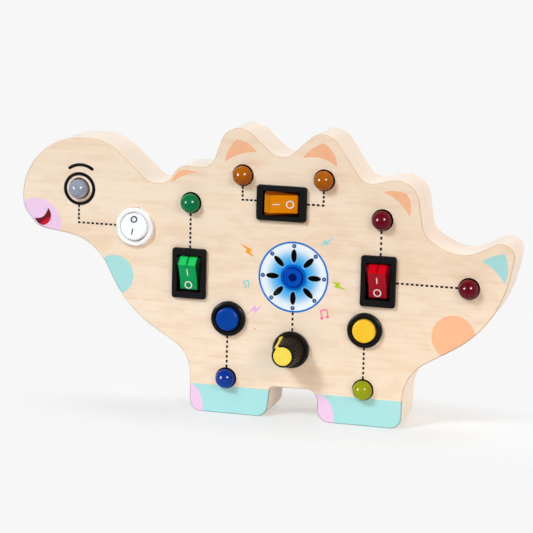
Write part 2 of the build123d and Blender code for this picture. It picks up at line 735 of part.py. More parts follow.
def pot_shaft():
    """Shaft from inside the can to the knob, with a flat for the knob's bore."""
    rear = POT_REAR + SHAFT_REAR_MARGIN + SHAFT_GAP
    front = KNOB_TIP - KNOB_CROWN - SEAT_GAP
    grip = KNOB_CLEARANCE + KNOB_BUSH_ROOF
    return post(SHAFT_RADIUS, grip, rear) + flatted_post(SHAFT_RADIUS, SHAFT_FLAT, front, grip)


def pot_washer():
    """Flat washer between the panel and the nut."""
    washer = post(POT_WASHER_RADIUS, POT_WASHER_THICKNESS, 0)
    return washer - post(POT_BUSH_RADIUS + SCREW_GAP, POT_WASHER_THICKNESS, 0)


def pot_nut():
    """Hexagonal nut on the bush, hidden under the knob."""
    front = POT_WASHER_THICKNESS + POT_NUT_THICKNESS
    nut = hexagon(POT_NUT_FLATS, front, POT_WASHER_THICKNESS)
    return nut - post(POT_BUSH_RADIUS + SCREW_GAP, front, POT_WASHER_THICKNESS)


def pointer_plate():
    """Teardrop on the knob's top: a disc whose edge runs out into a short neck."""
    half = POINTER_LINE / 2
    rim = KNOB_TOP_RADIUS - KNOB_TOP_EDGE
    neck = make_face(Polyline((0, -POINTER_NECK), (rim, -half), (rim, half), (0, POINTER_NECK), close=True))
    return slab(Circle(POINTER_DISC_RADIUS) + neck, KNOB_TIP, KNOB_TIP - POINTER_DEPTH)


def pointer_rib(outward):
    """Line that carries the pointer down the knob's side, standing out by a given amount."""
    low = KNOB_CLEARANCE + KNOB_SKIRT_HEIGHT
    rim = KNOB_TOP_RADIUS - KNOB_TOP_EDGE
    profile = make_face(Polyline(
        (rim - POINTER_DEPTH, KNOB_TIP), (rim + outward, KNOB_TIP),
        (KNOB_TOP_RADIUS + outward, KNOB_TIP - KNOB_TOP_EDGE),
        (KNOB_BODY_RADIUS + outward, low), (KNOB_BODY_RADIUS - POINTER_DEPTH, low),
        close=True,
    ))
    return extrude(Plane.XZ * profile, amount=POINTER_LINE / 2, both=True)


def knob_body():
    """Skirted knob with a fluted taper, hollow over the nut, and a bed for the pointer."""
    base = KNOB_CLEARANCE
    shoulder = base + KNOB_SKIRT_HEIGHT
    edge_level = KNOB_TIP - KNOB_TOP_EDGE
    skirt = turned(
        (0, base), (KNOB_SKIRT_RADIUS, base), (KNOB_SKIRT_RADIUS, base + KNOB_SKIRT_EDGE),
        (KNOB_SKIRT_TOP_RADIUS, shoulder), (0, shoulder),
    )
    grip = loft([
        fluted_face(KNOB_BODY_RADIUS, FLUTES, FLUTE_DEPTH, shoulder),
        fluted_face(KNOB_TOP_RADIUS, FLUTES, FLUTE_DEPTH, edge_level),
    ])
    crown = turned(
        (0, edge_level), (KNOB_TOP_RADIUS, edge_level), (KNOB_TOP_RADIUS - KNOB_TOP_EDGE, KNOB_TIP),
        (0, KNOB_TIP),
    )
    knob = skirt + Rot(0, 0, POINTER_ANGLE) * grip + crown
    knob -= post(KNOB_HOLLOW_RADIUS, base + KNOB_HOLLOW_ROOF, base)
    knob -= post(POT_BUSH_RADIUS + KNOB_BUSH_GAP, base + KNOB_BUSH_ROOF, base)
    bore = flatted_post(
        SHAFT_RADIUS + SHAFT_GAP, SHAFT_FLAT + SHAFT_GAP, KNOB_TIP - KNOB_CROWN, base
    )
    knob -= bore
    bed = pointer_plate() + pointer_rib(KNOB_BODY_RADIUS)
    return knob - Rot(0, 0, POINTER_ANGLE) * bed


def knob_pointer():
    """Bright insert in the knob's top and down its side."""
    return Rot(0, 0, POINTER_ANGLE) * (pointer_plate() + pointer_rib(0))


# ---- Sound disc -------------------------------------------------------------------------------
SOUND_BOARD_REAR = FRONT_REAR - SOUND_BOARD_THICKNESS


def disc_lens():
    """Low lens with a dished top, a beaded flange on the panel and a short stem in its hole."""
    lens = post(LENS_RADIUS, LENS_PROUD, 0)
    lens = fillet(lens.faces().sort_by(Axis.Z)[-1].edges(), LENS_EDGE)
    flange = fluted_face(LENS_FLANGE_RADIUS, LENS_BEADS, LENS_BEAD_DEPTH, 0)
    lens += extrude(flange, amount=LENS_FLANGE_THICKNESS, dir=(0, 0, 1))
    lens += post(LENS_STEM_RADIUS, 0, -LENS_STEM_DEPTH)
    lens -= turned(
        (0, LENS_PROUD), (LENS_DISH_RADIUS, LENS_PROUD), (0, LENS_PROUD - LENS_DISH_DEPTH)
    )
    return lens - hexagon(LENS_HEX_FLATS, LENS_PROUD, LENS_PROUD - LENS_HEX_DEPTH)


def disc_lamp():
    """Lamp chip on the sound board, under the lens."""
    return block(*CHIP_SIZE, FRONT_REAR + CHIP_HEIGHT, FRONT_REAR)


def sound_board():
    """Round circuit board with the same slots as the panel."""
    board = post(SOUND_BOARD_RADIUS, FRONT_REAR, SOUND_BOARD_REAR)
    board -= slot_pattern(FRONT_REAR, SOUND_BOARD_REAR)
    hole = post(SOUND_SCREW_RADIUS + SCREW_GAP, FRONT_REAR, SOUND_BOARD_REAR)
    for place in sound_screw_places():
        board -= place * hole
    return board


def sound_board_screws():
    """Small screws that hold the board to the panel."""
    shank = post(SOUND_SCREW_RADIUS, FRONT_REAR + SOUND_SCREW_BITE, SOUND_BOARD_REAR)
    head = post(SOUND_SCREW_HEAD_RADIUS, SOUND_BOARD_REAR, SOUND_BOARD_REAR - SOUND_SCREW_HEAD)
    return [at(DISC, place * (shank + head)) for place in sound_screw_places()]


def speaker():
    """Small speaker: a rim on the board, an open cone and a magnet."""
    front = SOUND_BOARD_REAR
    rim_rear = front - SPEAKER_RIM
    basket_rear = front - SPEAKER_CONE_DEPTH - SPEAKER_WALL
    rear = front - SPEAKER_DEPTH
    throat = SPEAKER_MAGNET_RADIUS - 2 * SPEAKER_WALL
    return turned(
        (SPEAKER_RADIUS - SPEAKER_WALL, front), (SPEAKER_RADIUS, front), (SPEAKER_RADIUS, rim_rear),
        (SPEAKER_MAGNET_RADIUS, basket_rear), (SPEAKER_MAGNET_RADIUS, rear), (0, rear),
        (0, front - SPEAKER_CONE_DEPTH), (throat, front - SPEAKER_CONE_DEPTH),
    )


# ---- Battery box ------------------------------------------------------------------------------
BAY_LENGTH = CELL_LENGTH + CELL_NUB + CONTACT_ROOM + 2 * PLATE_THICKNESS
BAY_WIDTH = (CELLS - 1) * CELL_PITCH + 2 * (CELL_RADIUS + CELL_GAP)
BOX_FLANGE_REAR = BOARD_REAR - BOX_FLANGE_PROUD
DOOR_FRONT = BOX_FLANGE_REAR + DOOR_THICKNESS
CELL_AXIS = DOOR_FRONT + CELL_GAP + CELL_RADIUS
BAY_FLOOR = CELL_AXIS + CELL_RADIUS
BOX_FRONT = BAY_FLOOR + BOX_FLOOR


def box_outer_size():
    """Length and width of the battery box where it passes through the back."""
    return BAY_LENGTH + 2 * BOSS_WIDTH, BAY_WIDTH + 2 * BOX_WALL


def rounded_block(length, width, corner, front, rear):
    """Box with rounded upright corners."""
    return slab(RectangleRounded(length, width, corner), front, rear)


def door_screw_places():
    """Places of the door's two screws, in the bosses at the ends."""
    reach = BAY_LENGTH / 2 + DOOR_SCREW_INSET
    return [Pos(-reach, 0), Pos(reach, 0)]


def battery_box():
    """Moulded tray with thick ends, a flange on the back and a sunk seat for the door."""
    length, width = box_outer_size()
    box = block(length, width, BOX_FRONT, BOARD_REAR)
    flange = rounded_block(
        length + 2 * BOX_FLANGE, width + 2 * BOX_FLANGE, BOX_CORNER, BOARD_REAR, BOX_FLANGE_REAR
    )
    flange = chamfer(flange.faces().sort_by(Axis.Z)[0].edges(), BEZEL_EDGE)
    box += flange
    box -= block(BAY_LENGTH, BAY_WIDTH, BAY_FLOOR, BOX_FLANGE_REAR)
    seat_length = length - 2 * DOOR_LEDGE
    seat_width = width - DOOR_LEDGE
    box -= rounded_block(
        seat_length, seat_width, DOOR_CORNER + DOOR_GAP, DOOR_FRONT, BOX_FLANGE_REAR
    )
    hole = post(
        DOOR_SCREW_RADIUS + DOOR_SCREW_GAP, DOOR_FRONT + DOOR_SCREW_BITE + DOOR_GAP, DOOR_FRONT
    )
    for place in door_screw_places():
        box -= place * hole
    hole = post(SOUND_SCREW_RADIUS + SCREW_GAP, BOARD_REAR, BOX_FLANGE_REAR)
    hole += post(
        SOUND_SCREW_HEAD_RADIUS + SCREW_GAP, BOX_FLANGE_REAR + SOUND_SCREW_HEAD, BOX_FLANGE_REAR
    )
    for place in flange_screw_places():
        box -= place * hole
    return box


def flange_screw_places():
    """Places of the small screws at the middle of the flange's long sides and near its ends."""
    length, width = box_outer_size()
    rise = (width + BOX_FLANGE) / 2
    reach = length / 3
    return [Pos(x, y) for x in (-reach, reach) for y in (-rise, rise)]


def battery_box_screws():
    """Small screws that hold the flange to the back panel, flush with it."""
    seat = BOX_FLANGE_REAR + SOUND_SCREW_HEAD
    shank = post(SOUND_SCREW_RADIUS, BOARD_REAR + SOUND_SCREW_BITE, seat)
    head = post(SOUND_SCREW_HEAD_RADIUS, seat, BOX_FLANGE_REAR)
    return [at(BATTERY_PLACE, place * (shank + head)) for place in flange_screw_places()]


def battery_door():
    """Flat door in the flange's seat, with sunk places for its two screws."""
    length, width = box_outer_size()
    door_length = length - 2 * DOOR_LEDGE - 2 * DOOR_GAP
    door_width = width - DOOR_LEDGE - 2 * DOOR_GAP
    door = rounded_block(door_length, door_width, DOOR_CORNER, DOOR_FRONT, BOX_FLANGE_REAR)
    hole = post(DOOR_SCREW_RADIUS + SCREW_GAP, DOOR_FRONT, BOX_FLANGE_REAR)
    sink = post(
        DOOR_SCREW_HEAD_RADIUS + DOOR_SCREW_GAP, BOX_FLANGE_REAR + DOOR_SCREW_HEAD, BOX_FLANGE_REAR
    )
    for place in door_screw_places():
        door -= place * (hole + sink)
    return door


def battery_door_screws():
    """The door's two captive screws."""
    seat = BOX_FLANGE_REAR + DOOR_SCREW_HEAD
    screw = post(DOOR_SCREW_RADIUS, DOOR_FRONT + DOOR_SCREW_BITE, seat)
    screw += post(DOOR_SCREW_HEAD_RADIUS, seat, BOX_FLANGE_REAR)
    return [at(BATTERY_PLACE, place * screw) for place in door_screw_places()]


def cell_rows():
    """For each cell, its place in the box, turned so that its nub points along X."""
    first = -(CELLS - 1) / 2 * CELL_PITCH
    rows = []
    for i in range(CELLS):
        turn = 0 if i % 2 == 0 else 180
        rows.append(Pos(*BATTERY_PLACE, CELL_AXIS) * Pos(0, first + i * CELL_PITCH) * Rot(0, 0, turn))
    return rows


def batteries():
    """Cylindrical cells side by side, every second one turned round."""
    nub_end = BAY_LENGTH / 2 - PLATE_THICKNESS
    nub_middle = nub_end - CELL_NUB / 2
    can_middle = nub_end - CELL_NUB - CELL_LENGTH / 2
    cell = Pos(can_middle) * Cylinder(CELL_RADIUS, CELL_LENGTH, rotation=(0, 90, 0))
    cell += Pos(nub_middle) * Cylinder(CELL_NUB_RADIUS, CELL_NUB, rotation=(0, 90, 0))
    return [row * cell for row in cell_rows()]


def battery_plates():
    """Flat contact at each end of each cell."""
    plate = Box(PLATE_THICKNESS, PLATE_SIZE, PLATE_SIZE)
    reach = (BAY_LENGTH - PLATE_THICKNESS) / 2
    return [row * Pos(side * reach) * plate for row in cell_rows() for side in (-1, 1)]


def battery_springs():
    """Contact spring between the flat end of each cell and its plate."""
    spring = coil(CONTACT_RADIUS, CONTACT_WIRE_RADIUS, CONTACT_ROOM, 0, CONTACT_TURNS)
    root = BAY_LENGTH / 2 - PLATE_THICKNESS
    return [row * Pos(-root) * Rot(0, 90, 0) * spring for row in cell_rows()]


# ---- Every piece, written under its own name --------------------------------------------------
def save_board():
    """Write the wooden layers and their screws."""
    save("front_panel", front_panel())
    save("core_frame", core_frame())
    save("back_panel", back_panel())
    save("back_panel_screws", *back_panel_screws())


def save_lamps():
    """Write the lamps and their leads."""
    shape = lamp()
    for name, place in LAMPS.items():
        save(name, at(place, shape))
    save("lamp_leads", *lamp_leads())


def save_switches():
    """Write the rectangular switches and the round one."""
    housing = switch_housing()
    rocker = switch_rocker()
    blades = switch_terminals()
    switches = {"green": (GREEN_SWITCH, 0), "amber": (AMBER_SWITCH, 90), "red": (RED_SWITCH, 0)}
    for colour, (place, turn) in switches.items():
        seat = Pos(*place) * Rot(0, 0, turn)
        save(f"{colour}_switch_housing", seat * housing)
        save(f"{colour}_switch_rocker", seat * rocker)
        save(f"{colour}_switch_terminals", *[seat * blade for blade in blades])
    save("white_switch_housing", at(WHITE_SWITCH, white_switch_housing()))
    save("white_switch_rocker", at(WHITE_SWITCH, white_switch_rocker()))
    save("white_switch_terminals", *[at(WHITE_SWITCH, b) for b in white_switch_terminals()])


def save_buttons():
    """Write the two push buttons."""
    pieces = {
        "housing": button_housing(),
        "cap": button_cap(),
        "spring": button_spring(),
        "nut": button_nut(),
    }
    for colour, place in {"blue": BLUE_BUTTON, "yellow": YELLOW_BUTTON}.items():
        for name, solid in pieces.items():
            save(f"{colour}_button_{name}", at(place, solid))
        save(f"{colour}_button_terminals", *[at(place, pin) for pin in button_pins(0)])


def save_rotary_control():
    """Write the knob and the control under it."""
    save("knob", at(KNOB, knob_body()))
    save("knob_pointer", at(KNOB, knob_pointer()))
    save("potentiometer_body", at(KNOB, pot_body()))
    save("potentiometer_shaft", at(KNOB, pot_shaft()))
    save("potentiometer_washer", at(KNOB, pot_washer()))
    save("potentiometer_nut", at(KNOB, pot_nut()))
    save("potentiometer_lugs", *[at(KNOB, lug) for lug in lug_row(0)])


def save_sound_disc():
    """Write the lens, the board behind it and the speaker."""
    save("disc_lens", at(DISC, disc_lens()))
    save("disc_lamp", at(DISC, disc_lamp()))
    save("sound_board", at(DISC, sound_board()))
    save("sound_board_screws", *sound_board_screws())
    save("speaker", at(DISC, speaker()))


def save_battery_box():
    """Write the battery box, its door and what lies in it."""
    save("battery_box", at(BATTERY_PLACE, battery_box()))
    save("battery_box_screws", *battery_box_screws())
    save("battery_door", at(BATTERY_PLACE, battery_door()))
    save("battery_door_screws", *battery_door_screws())
    save("batteries", *batteries())
    save("battery_plates", *battery_plates())
    save("battery_springs", *battery_springs())


save_board()
save_lamps()
save_switches()
save_buttons()
save_rotary_control()
save_sound_disc()
save_battery_box()
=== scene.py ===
"""Looks of the wooden busy board: finishes, printed art, switch marks, lights and camera."""

import logging
import math
from collections.abc import Iterable, Sequence
from dataclasses import dataclass, field
from enum import Enum

import bmesh
import bpy
from mathutils import Matrix, Vector


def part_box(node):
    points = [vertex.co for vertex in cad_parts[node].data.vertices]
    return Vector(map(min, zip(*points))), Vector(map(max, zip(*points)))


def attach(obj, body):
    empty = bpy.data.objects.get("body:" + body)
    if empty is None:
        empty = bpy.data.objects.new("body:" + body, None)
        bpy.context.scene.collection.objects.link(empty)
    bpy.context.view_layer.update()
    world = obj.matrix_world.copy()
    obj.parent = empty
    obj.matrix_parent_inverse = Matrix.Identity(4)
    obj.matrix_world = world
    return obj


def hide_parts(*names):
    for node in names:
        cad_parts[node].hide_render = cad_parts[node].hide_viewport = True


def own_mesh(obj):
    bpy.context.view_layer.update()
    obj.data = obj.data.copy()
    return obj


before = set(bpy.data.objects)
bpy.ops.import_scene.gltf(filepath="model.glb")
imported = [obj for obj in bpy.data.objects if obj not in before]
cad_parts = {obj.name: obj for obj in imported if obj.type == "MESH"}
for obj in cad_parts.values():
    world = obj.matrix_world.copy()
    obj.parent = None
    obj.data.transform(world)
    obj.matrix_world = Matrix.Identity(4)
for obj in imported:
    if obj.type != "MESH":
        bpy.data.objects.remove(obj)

log = logging.getLogger("busy_board")

MM = 0.001
BODY = "board"
Colour = tuple[int, int, int]
Place = tuple[float, float]
Socket = bpy.types.NodeSocket


def linear(colour: Colour) -> tuple[float, float, float, float]:
    """Turn a screen colour into the linear one that a shader takes.

    Args:
        colour: Red, green and blue from 0 to 255.

    Returns:
        Linear red, green, blue and an alpha of 1.
    """
    parts = [part / 255 for part in colour]
    bent = [p / 12.92 if p <= 0.04045 else ((p + 0.055) / 1.055) ** 2.4 for p in parts]
    return (*bent, 1.0)


def middle_of(node: str) -> Place:
    """Middle of a CAD node across and up the board, in millimetres."""
    low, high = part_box(node)
    return ((low.x + high.x) / 2 / MM, (low.z + high.z) / 2 / MM)


class Front:
    """Levels of the printed front face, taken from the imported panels."""

    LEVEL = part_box("front_panel")[0].y
    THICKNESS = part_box("back_panel")[1].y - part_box("front_panel")[0].y

    @classmethod
    def plane(cls, lift: float = 0.0) -> Matrix:
        """Plane of the printed front, a little in front of the wood.

        Args:
            lift: Distance in front of the face, in millimetres.

        Returns:
            The plane's place, with its Z out of the board.
        """
        return Matrix.Translation((0, cls.LEVEL - lift * MM, 0)) @ Matrix.Rotation(math.radians(90), 4, "X")

    @classmethod
    def plane_at(cls, centre: Place) -> Matrix:
        """Plane of the front with its origin at a place on the board."""
        return Matrix.Translation((centre[0] * MM, 0, centre[1] * MM)) @ cls.plane()


# ---- Materials --------------------------------------------------------------------------------
class Tree:
    """Node tree of a material or of the world."""

    def __init__(self, tree: bpy.types.NodeTree) -> None:
        """Take over a node tree."""
        self.nodes = tree.nodes
        self.links = tree.links

    def node(self, kind: str, **settings: object) -> bpy.types.Node:
        """Add a node.

        Args:
            kind: The node's type.
            settings: Values of its own settings, by name.

        Returns:
            The new node.
        """
        made = self.nodes.new(kind)
        for key, value in settings.items():
            setattr(made, key, value)
        return made

    def feed(self, target: Socket, value: object) -> None:
        """Link a socket to an input, or set the input to a plain value.

        Args:
            target: The input.
            value: A socket or a plain value.
        """
        if isinstance(value, bpy.types.NodeSocket):
            self.links.new(value, target)
        else:
            target.default_value = value

    def math(self, operation: str, first: object, second: object = 0.0) -> Socket:
        """Add a Math node.

        Args:
            operation: Name of the operation.
            first: First operand, a socket or a number.
            second: Second operand, a socket or a number.

        Returns:
            The result's socket.
        """
        made = self.node("ShaderNodeMath", operation=operation)
        self.feed(made.inputs[0], first)
        self.feed(made.inputs[1], second)
        return made.outputs[0]

    def mix(self, share: object, first: object, second: object) -> Socket:
        """Mix two numbers, by the share of the second."""
        made = self.node("ShaderNodeMix")
        for place, value in zip((0, 2, 3), (share, first, second)):
            self.feed(made.inputs[place], value)
        return made.outputs[0]

    def blend(self, share: object, first: object, second: object) -> Socket:
        """Mix two colours, by the share of the second."""
        made = self.node("ShaderNodeMix", data_type="RGBA")
        for place, value in zip((0, 6, 7), (share, first, second)):
            self.feed(made.inputs[place], value)
        return made.outputs[2]


class Shader(Tree):
    """Node tree of one material that ends in a Principled shader."""

    def __init__(self, name: str) -> None:
        """Start an empty material.

        Args:
            name: Name of the material.
        """
        self.material = bpy.data.materials.new(name)
        self.material.use_nodes = True
        super().__init__(self.material.node_tree)
        self.surface = self.nodes["Principled BSDF"]
        self.place = self.node("ShaderNodeTexCoord").outputs["Object"]

    def finish(self, name: str, value: object) -> None:
        """Feed one input of the Principled shader by its name."""
        self.feed(self.surface.inputs[name], value)

    def all_of(self, first: Socket, *others: object) -> Socket:
        """Multiply masks, so that only their common part is left."""
        for other in others:
            first = self.math("MULTIPLY", first, other)
        return first

    def axes(self) -> tuple[Socket, Socket, Socket]:
        """X, Y and Z of the object's own coordinates."""
        split = self.node("ShaderNodeSeparateXYZ")
        self.feed(split.inputs[0], self.place)
        return split.outputs[0], split.outputs[1], split.outputs[2]

    def from_place(self, centre: Place) -> tuple[Socket, Socket, Socket]:
        """Place seen from a point on the front.

        Args:
            centre: The point across and up the board, in millimetres.

        Returns:
            Distance to its right, distance above it and distance in front of the face, in metres.
        """
        x, y, z = self.axes()
        across = self.math("SUBTRACT", x, centre[0] * MM)
        above = self.math("SUBTRACT", z, centre[1] * MM)
        return across, above, self.math("SUBTRACT", Front.LEVEL, y)

    def length(self, first: Socket, second: Socket) -> Socket:
        """Length of a vector with these two parts."""
        squares = self.math("MULTIPLY", second, second)
        made = self.node("ShaderNodeMath", operation="MULTIPLY_ADD")
        for target, value in zip(made.inputs, (first, first, squares)):
            self.feed(target, value)
        return self.math("SQRT", made.outputs[0])

    def ramp(self, value: object, low: float, high: float) -> Socket:
        """Rise from 0 at one value to 1 at another, smoothly.

        Args:
            value: The socket that is read.
            low: Value at which the result is 0.
            high: Value at which the result is 1, which may be below the other.

        Returns:
            The result's socket.
        """
        made = self.node("ShaderNodeMapRange", interpolation_type="SMOOTHSTEP")
        self.feed(made.inputs["Value"], value)
        self.feed(made.inputs["From Min"], low)
        self.feed(made.inputs["From Max"], high)
        return made.outputs["Result"]

    def beyond(self, value: Socket, limit: float, soft: float = 0.05) -> Socket:
        """Mask of where a length in metres is above a limit in millimetres."""
        return self.ramp(value, (limit - soft) * MM, (limit + soft) * MM)

    def within(self, value: Socket, limit: float, soft: float = 0.05) -> Socket:
        """Mask of where a length in metres is below a limit in millimetres."""
        return self.ramp(value, (limit + soft) * MM, (limit - soft) * MM)

    def inside(self, centre: Place, radius: float) -> Socket:
        """Mask of a round place on the front, by its centre and radius in millimetres."""
        across, above, _ = self.from_place(centre)
        return self.within(self.length(across, above), radius)

    def noise(self, scale: Sequence[float], detail: float = 2.0, offset: Place = (0, 0)) -> Socket:
        """Noise stretched along the axes.

        Args:
            scale: Features per metre along X, Y and Z.
            detail: Octaves of finer noise.
            offset: Shift along X and Z, which makes a different pattern.

        Returns:
            The noise's value, around 0.5.
        """
        mapping = self.node("ShaderNodeMapping")
        self.feed(mapping.inputs["Vector"], self.place)
        mapping.inputs["Scale"].default_value = scale
        mapping.inputs["Location"].default_value = (offset[0], 0, offset[1])
        made = self.node("ShaderNodeTexNoise")
        self.feed(made.inputs["Vector"], mapping.outputs["Vector"])
        made.inputs["Scale"].default_value = 1.0
        made.inputs["Detail"].default_value = detail
        return made.outputs["Fac"]

    def bump(self, height: Socket, depth: float) -> None:
        """Raise the surface by a pattern.

        Args:
            height: The pattern.
            depth: Height of its full range, in metres.
        """
        made = self.node("ShaderNodeBump")
        self.feed(made.inputs["Height"], height)
        made.inputs["Distance"].default_value = depth
        self.finish("Normal", made.outputs["Normal"])

    def polish(self, roughness: float, gloss: object) -> None:
        """Set how smooth and how mirroring the surface is."""
        self.finish("Roughness", roughness)
        self.finish("Specular IOR Level", gloss)


@dataclass(frozen=True)
class Moulded:
    """Moulded or painted finish of one colour, with a faint unevenness."""

    name: str
    colour: Colour
    roughness: float = 0.3
    gloss: float = 0.5
    metal: float = 0.0
    shade: float = 0.96
    mottle_scale: float = 400
    grain_scale: float = 3000
    grain: float = 0.004

    def material(self) -> bpy.types.Material:
        """Build the material, or give the one that was built before."""
        known = bpy.data.materials.get(self.name)
        if known is not None:
            return known
        shader = Shader(self.name)
        tone = shader.ramp(shader.noise((self.mottle_scale,) * 3, 3.0), 0.3, 0.7)
        plain = linear(self.colour)
        dark = (*(self.shade * part for part in plain[:3]), 1.0)
        shader.finish("Base Color", shader.blend(tone, dark, plain))
        shader.finish("Metallic", self.metal)
        shader.polish(self.roughness, self.gloss)
        shader.bump(shader.noise((self.grain_scale,) * 3, 2.0), self.grain * MM)
        return shader.material


class Metal(Enum):
    """Bare metals of the works behind the front."""

    SCREW_STEEL = (150, 148, 142)
    CONTROL_STEEL = (178, 178, 176)
    SPRING_WIRE = (180, 180, 184)
    TINNED_PIN = (200, 192, 170)
    BLADE_BRASS = (196, 168, 104)

    def material(self) -> bpy.types.Material:
        """Material of this metal."""
        return Moulded(self.name.lower(), self.value, roughness=0.32, metal=1.0).material()


class Ink(Enum):
    """Inks of the printed art, as screen colours."""

    BLACK = (6, 6, 7)
    ORANGE = (255, 190, 146)
    TURQUOISE = (172, 225, 223)
    PINK = (244, 205, 236)
    MOUTH = (112, 8, 28)
    TONGUE = (214, 4, 38)
    BLUE_LINE = (0, 122, 212)
    NAVY = (6, 62, 120)
    RING_CENTRE = (120, 160, 205)
    BOLT_ORANGE = (255, 166, 30)
    BOLT_BLUE = (150, 224, 232)
    BOLT_LIME = (190, 208, 24)
    BOLT_VIOLET = (246, 186, 232)
    NOTE_TURQUOISE = (130, 214, 222)
    NOTE_PINK = (255, 126, 160)
    KNOT = (196, 140, 96)
    MARK_WHITE = (236, 240, 236)
    MARK_GREY = (58, 58, 62)

    def finish(self) -> Moulded:
        """Satin finish of this ink."""
        return Moulded(f"ink_{self.name.lower()}", self.value, roughness=0.6, gloss=0.05)


@dataclass(frozen=True)
class Dome:
    """Clear tinted plastic of a dome lamp, with painted light in its lower part and painted shade round its
    foot.
    """

    name: str
    centre: Place
    tint: Colour
    low: Colour
    foot: Colour
    foot_shade_height: float = 0.95
    shoulder: float = 1.1

    def material(self) -> bpy.types.Material:
        """Build the material, shaded as a true ball on a straight foot."""
        shader = Shader(self.name)
        across, above, proud = shader.from_place(self.centre)
        rise = shader.math("MAXIMUM", shader.math("SUBTRACT", proud, self.shoulder * MM), 0.0)
        away = shader.node("ShaderNodeCombineXYZ")
        for target, value in zip(away.inputs, (across, shader.math("MULTIPLY", rise, -1.0), above)):
            shader.feed(target, value)
        outward = shader.node("ShaderNodeVectorMath", operation="NORMALIZE")
        shader.feed(outward.inputs[0], away.outputs[0])
        shader.finish("Normal", outward.outputs[0])
        cloud = shader.math("MULTIPLY", shader.noise((420, 420, 420), 2.0), 3 * MM)
        # Painted light: the lower part takes another tint, standing for light that passes through the clear
        # plastic and gathers low.
        painted_glow_share = shader.ramp(shader.math("ADD", above, cloud), 3.5 * MM, -3.0 * MM)
        colour = shader.blend(painted_glow_share, linear(self.tint), linear(self.low))
        # Painted shade: a dark band round the foot of the dome, where it meets the shadowed gap of its
        # hole.
        foot = shader.within(proud, self.foot_shade_height, 0.3)
        shader.finish("Base Color", shader.blend(foot, colour, linear(self.foot)))
        shader.polish(0.22, 0.15)
        return shader.material


@dataclass(frozen=True)
class RockerPlastic:
    """Tinted rocker: hollow face, painted shade towards its pressed end, on its cheeks and in lines, and a
    painted highlight on its raised end.
    """

    name: str
    centre: Place
    sideways: bool
    face: Colour
    face_low_shade: Colour
    facet_highlight: Colour
    rocker_shade: Colour
    split: float
    crease_shade: float = 0.0
    band: float = 3.72
    crest: float = 4.1
    low_end: float = -7.0
    cloud_share: float = 0.25
    crease_share: float = 0.6
    split_share: float = 0.75
    grain: float = 0.004

    def material(self) -> bpy.types.Material:
        """Build the material."""
        shader = Shader(self.name)
        right, above, _ = shader.from_place(self.centre)
        across, along = (above, shader.math("MULTIPLY", right, -1.0)) if self.sideways else (right, above)
        aside = shader.math("ABSOLUTE", across)
        # Painted shade: the face darkens towards its pressed end; the cloud below mixes in the same darker
        # colour at random.
        low = linear(self.face_low_shade)
        colour = shader.blend(shader.ramp(along, 3 * MM, self.low_end * MM), linear(self.face), low)
        cloud = shader.ramp(shader.noise((500, 500, 500), 2.0), 0.3, 0.8)
        colour = shader.blend(shader.math("MULTIPLY", cloud, self.cloud_share), colour, low)
        # Painted highlight: the raised end past the crest is a lighter colour.
        colour = shader.blend(shader.beyond(along, self.crest), colour, linear(self.facet_highlight))
        # Painted shade: a dark line along the crest.
        if self.crease_shade:
            fold = shader.math("ABSOLUTE", shader.math("SUBTRACT", along, self.crest * MM))
            line = shader.math("MULTIPLY", shader.within(fold, self.crease_shade, 0.12), self.crease_share)
            colour = shader.blend(line, colour, linear(self.rocker_shade))
        # Painted shade: a dark line down the middle of the raised end.
        if self.split:
            upper = shader.ramp(along, 2.5 * MM, 5.5 * MM)
            line = shader.all_of(shader.within(aside, self.split, 0.2), upper, self.split_share)
            colour = shader.blend(line, colour, linear(self.rocker_shade))
        # Painted shade: the cheeks at both sides are dark.
        colour = shader.blend(shader.beyond(aside, self.band, 0.12), colour, linear(self.rocker_shade))
        shader.finish("Base Color", colour)
        shader.polish(0.24, 0.08)
        shader.bump(shader.noise((2500, 2500, 2500), 2.0), self.grain * MM)
        return shader.material


@dataclass(frozen=True)
class LensPlastic:
    """Blue plastic of the disc's lens, with painted shade in the ring round its body and in its hex."""

    name: str
    centre: Place
    flange: Colour = (0, 104, 205)
    body: Colour = (2, 78, 190)
    shade: Colour = (0, 44, 148)
    hollow: Colour = (0, 26, 100)
    body_radius: float = 4.35
    ring_inner: float = 3.75
    ring_outer: float = 4.45
    hex_radius: float = 2.1
    hex_floor: float = 0.95

    def material(self) -> bpy.types.Material:
        """Build the material."""
        shader = Shader(self.name)
        across, above, proud = shader.from_place(self.centre)
        radius = shader.length(across, above)
        on_flange = shader.beyond(radius, self.body_radius)
        colour = shader.blend(on_flange, linear(self.body), linear(self.flange))
        # Painted shade: a darker ring in the groove round the lens body.
        ring = shader.all_of(
            shader.beyond(radius, self.ring_inner, 0.2), shader.within(radius, self.ring_outer, 0.1)
        )
        colour = shader.blend(ring, colour, linear(self.shade))
        # Painted shade: the hex hollow is darker.
        hollow = shader.all_of(
            shader.within(radius, self.hex_radius), shader.within(proud, self.hex_floor, 0.1)
        )
        shader.finish("Base Color", shader.blend(hollow, colour, linear(self.hollow)))
        shader.polish(0.2, 0.08)
        return shader.material


@dataclass(frozen=True)
class KnobPlastic:
    """Black plastic of the knob, with a duller brown-black grip."""

    name: str
    centre: Place
    black: Colour = (20, 18, 18)
    grip: Colour = (30, 22, 18)
    grip_low: float = 3.3
    grip_top: float = 14.2
    grip_radius: float = 6.6
    gloss: float = 0.16
    grip_dulling: float = 0.13
    grain: float = 0.004

    def material(self) -> bpy.types.Material:
        """Build the material."""
        shader = Shader(self.name)
        proud = shader.from_place(self.centre)[2]
        grip = shader.all_of(
            shader.inside(self.centre, self.grip_radius),
            shader.beyond(proud, self.grip_low), shader.within(proud, self.grip_top),
        )
        shader.finish("Base Color", shader.blend(grip, linear(self.black), linear(self.grip)))
        dulling = shader.math("MULTIPLY", grip, self.grip_dulling)
        shader.polish(0.22, shader.math("SUBTRACT", self.gloss, dulling))
        shader.bump(shader.noise((2500, 2500, 2500), 2.0), self.grain * MM)
        return shader.material


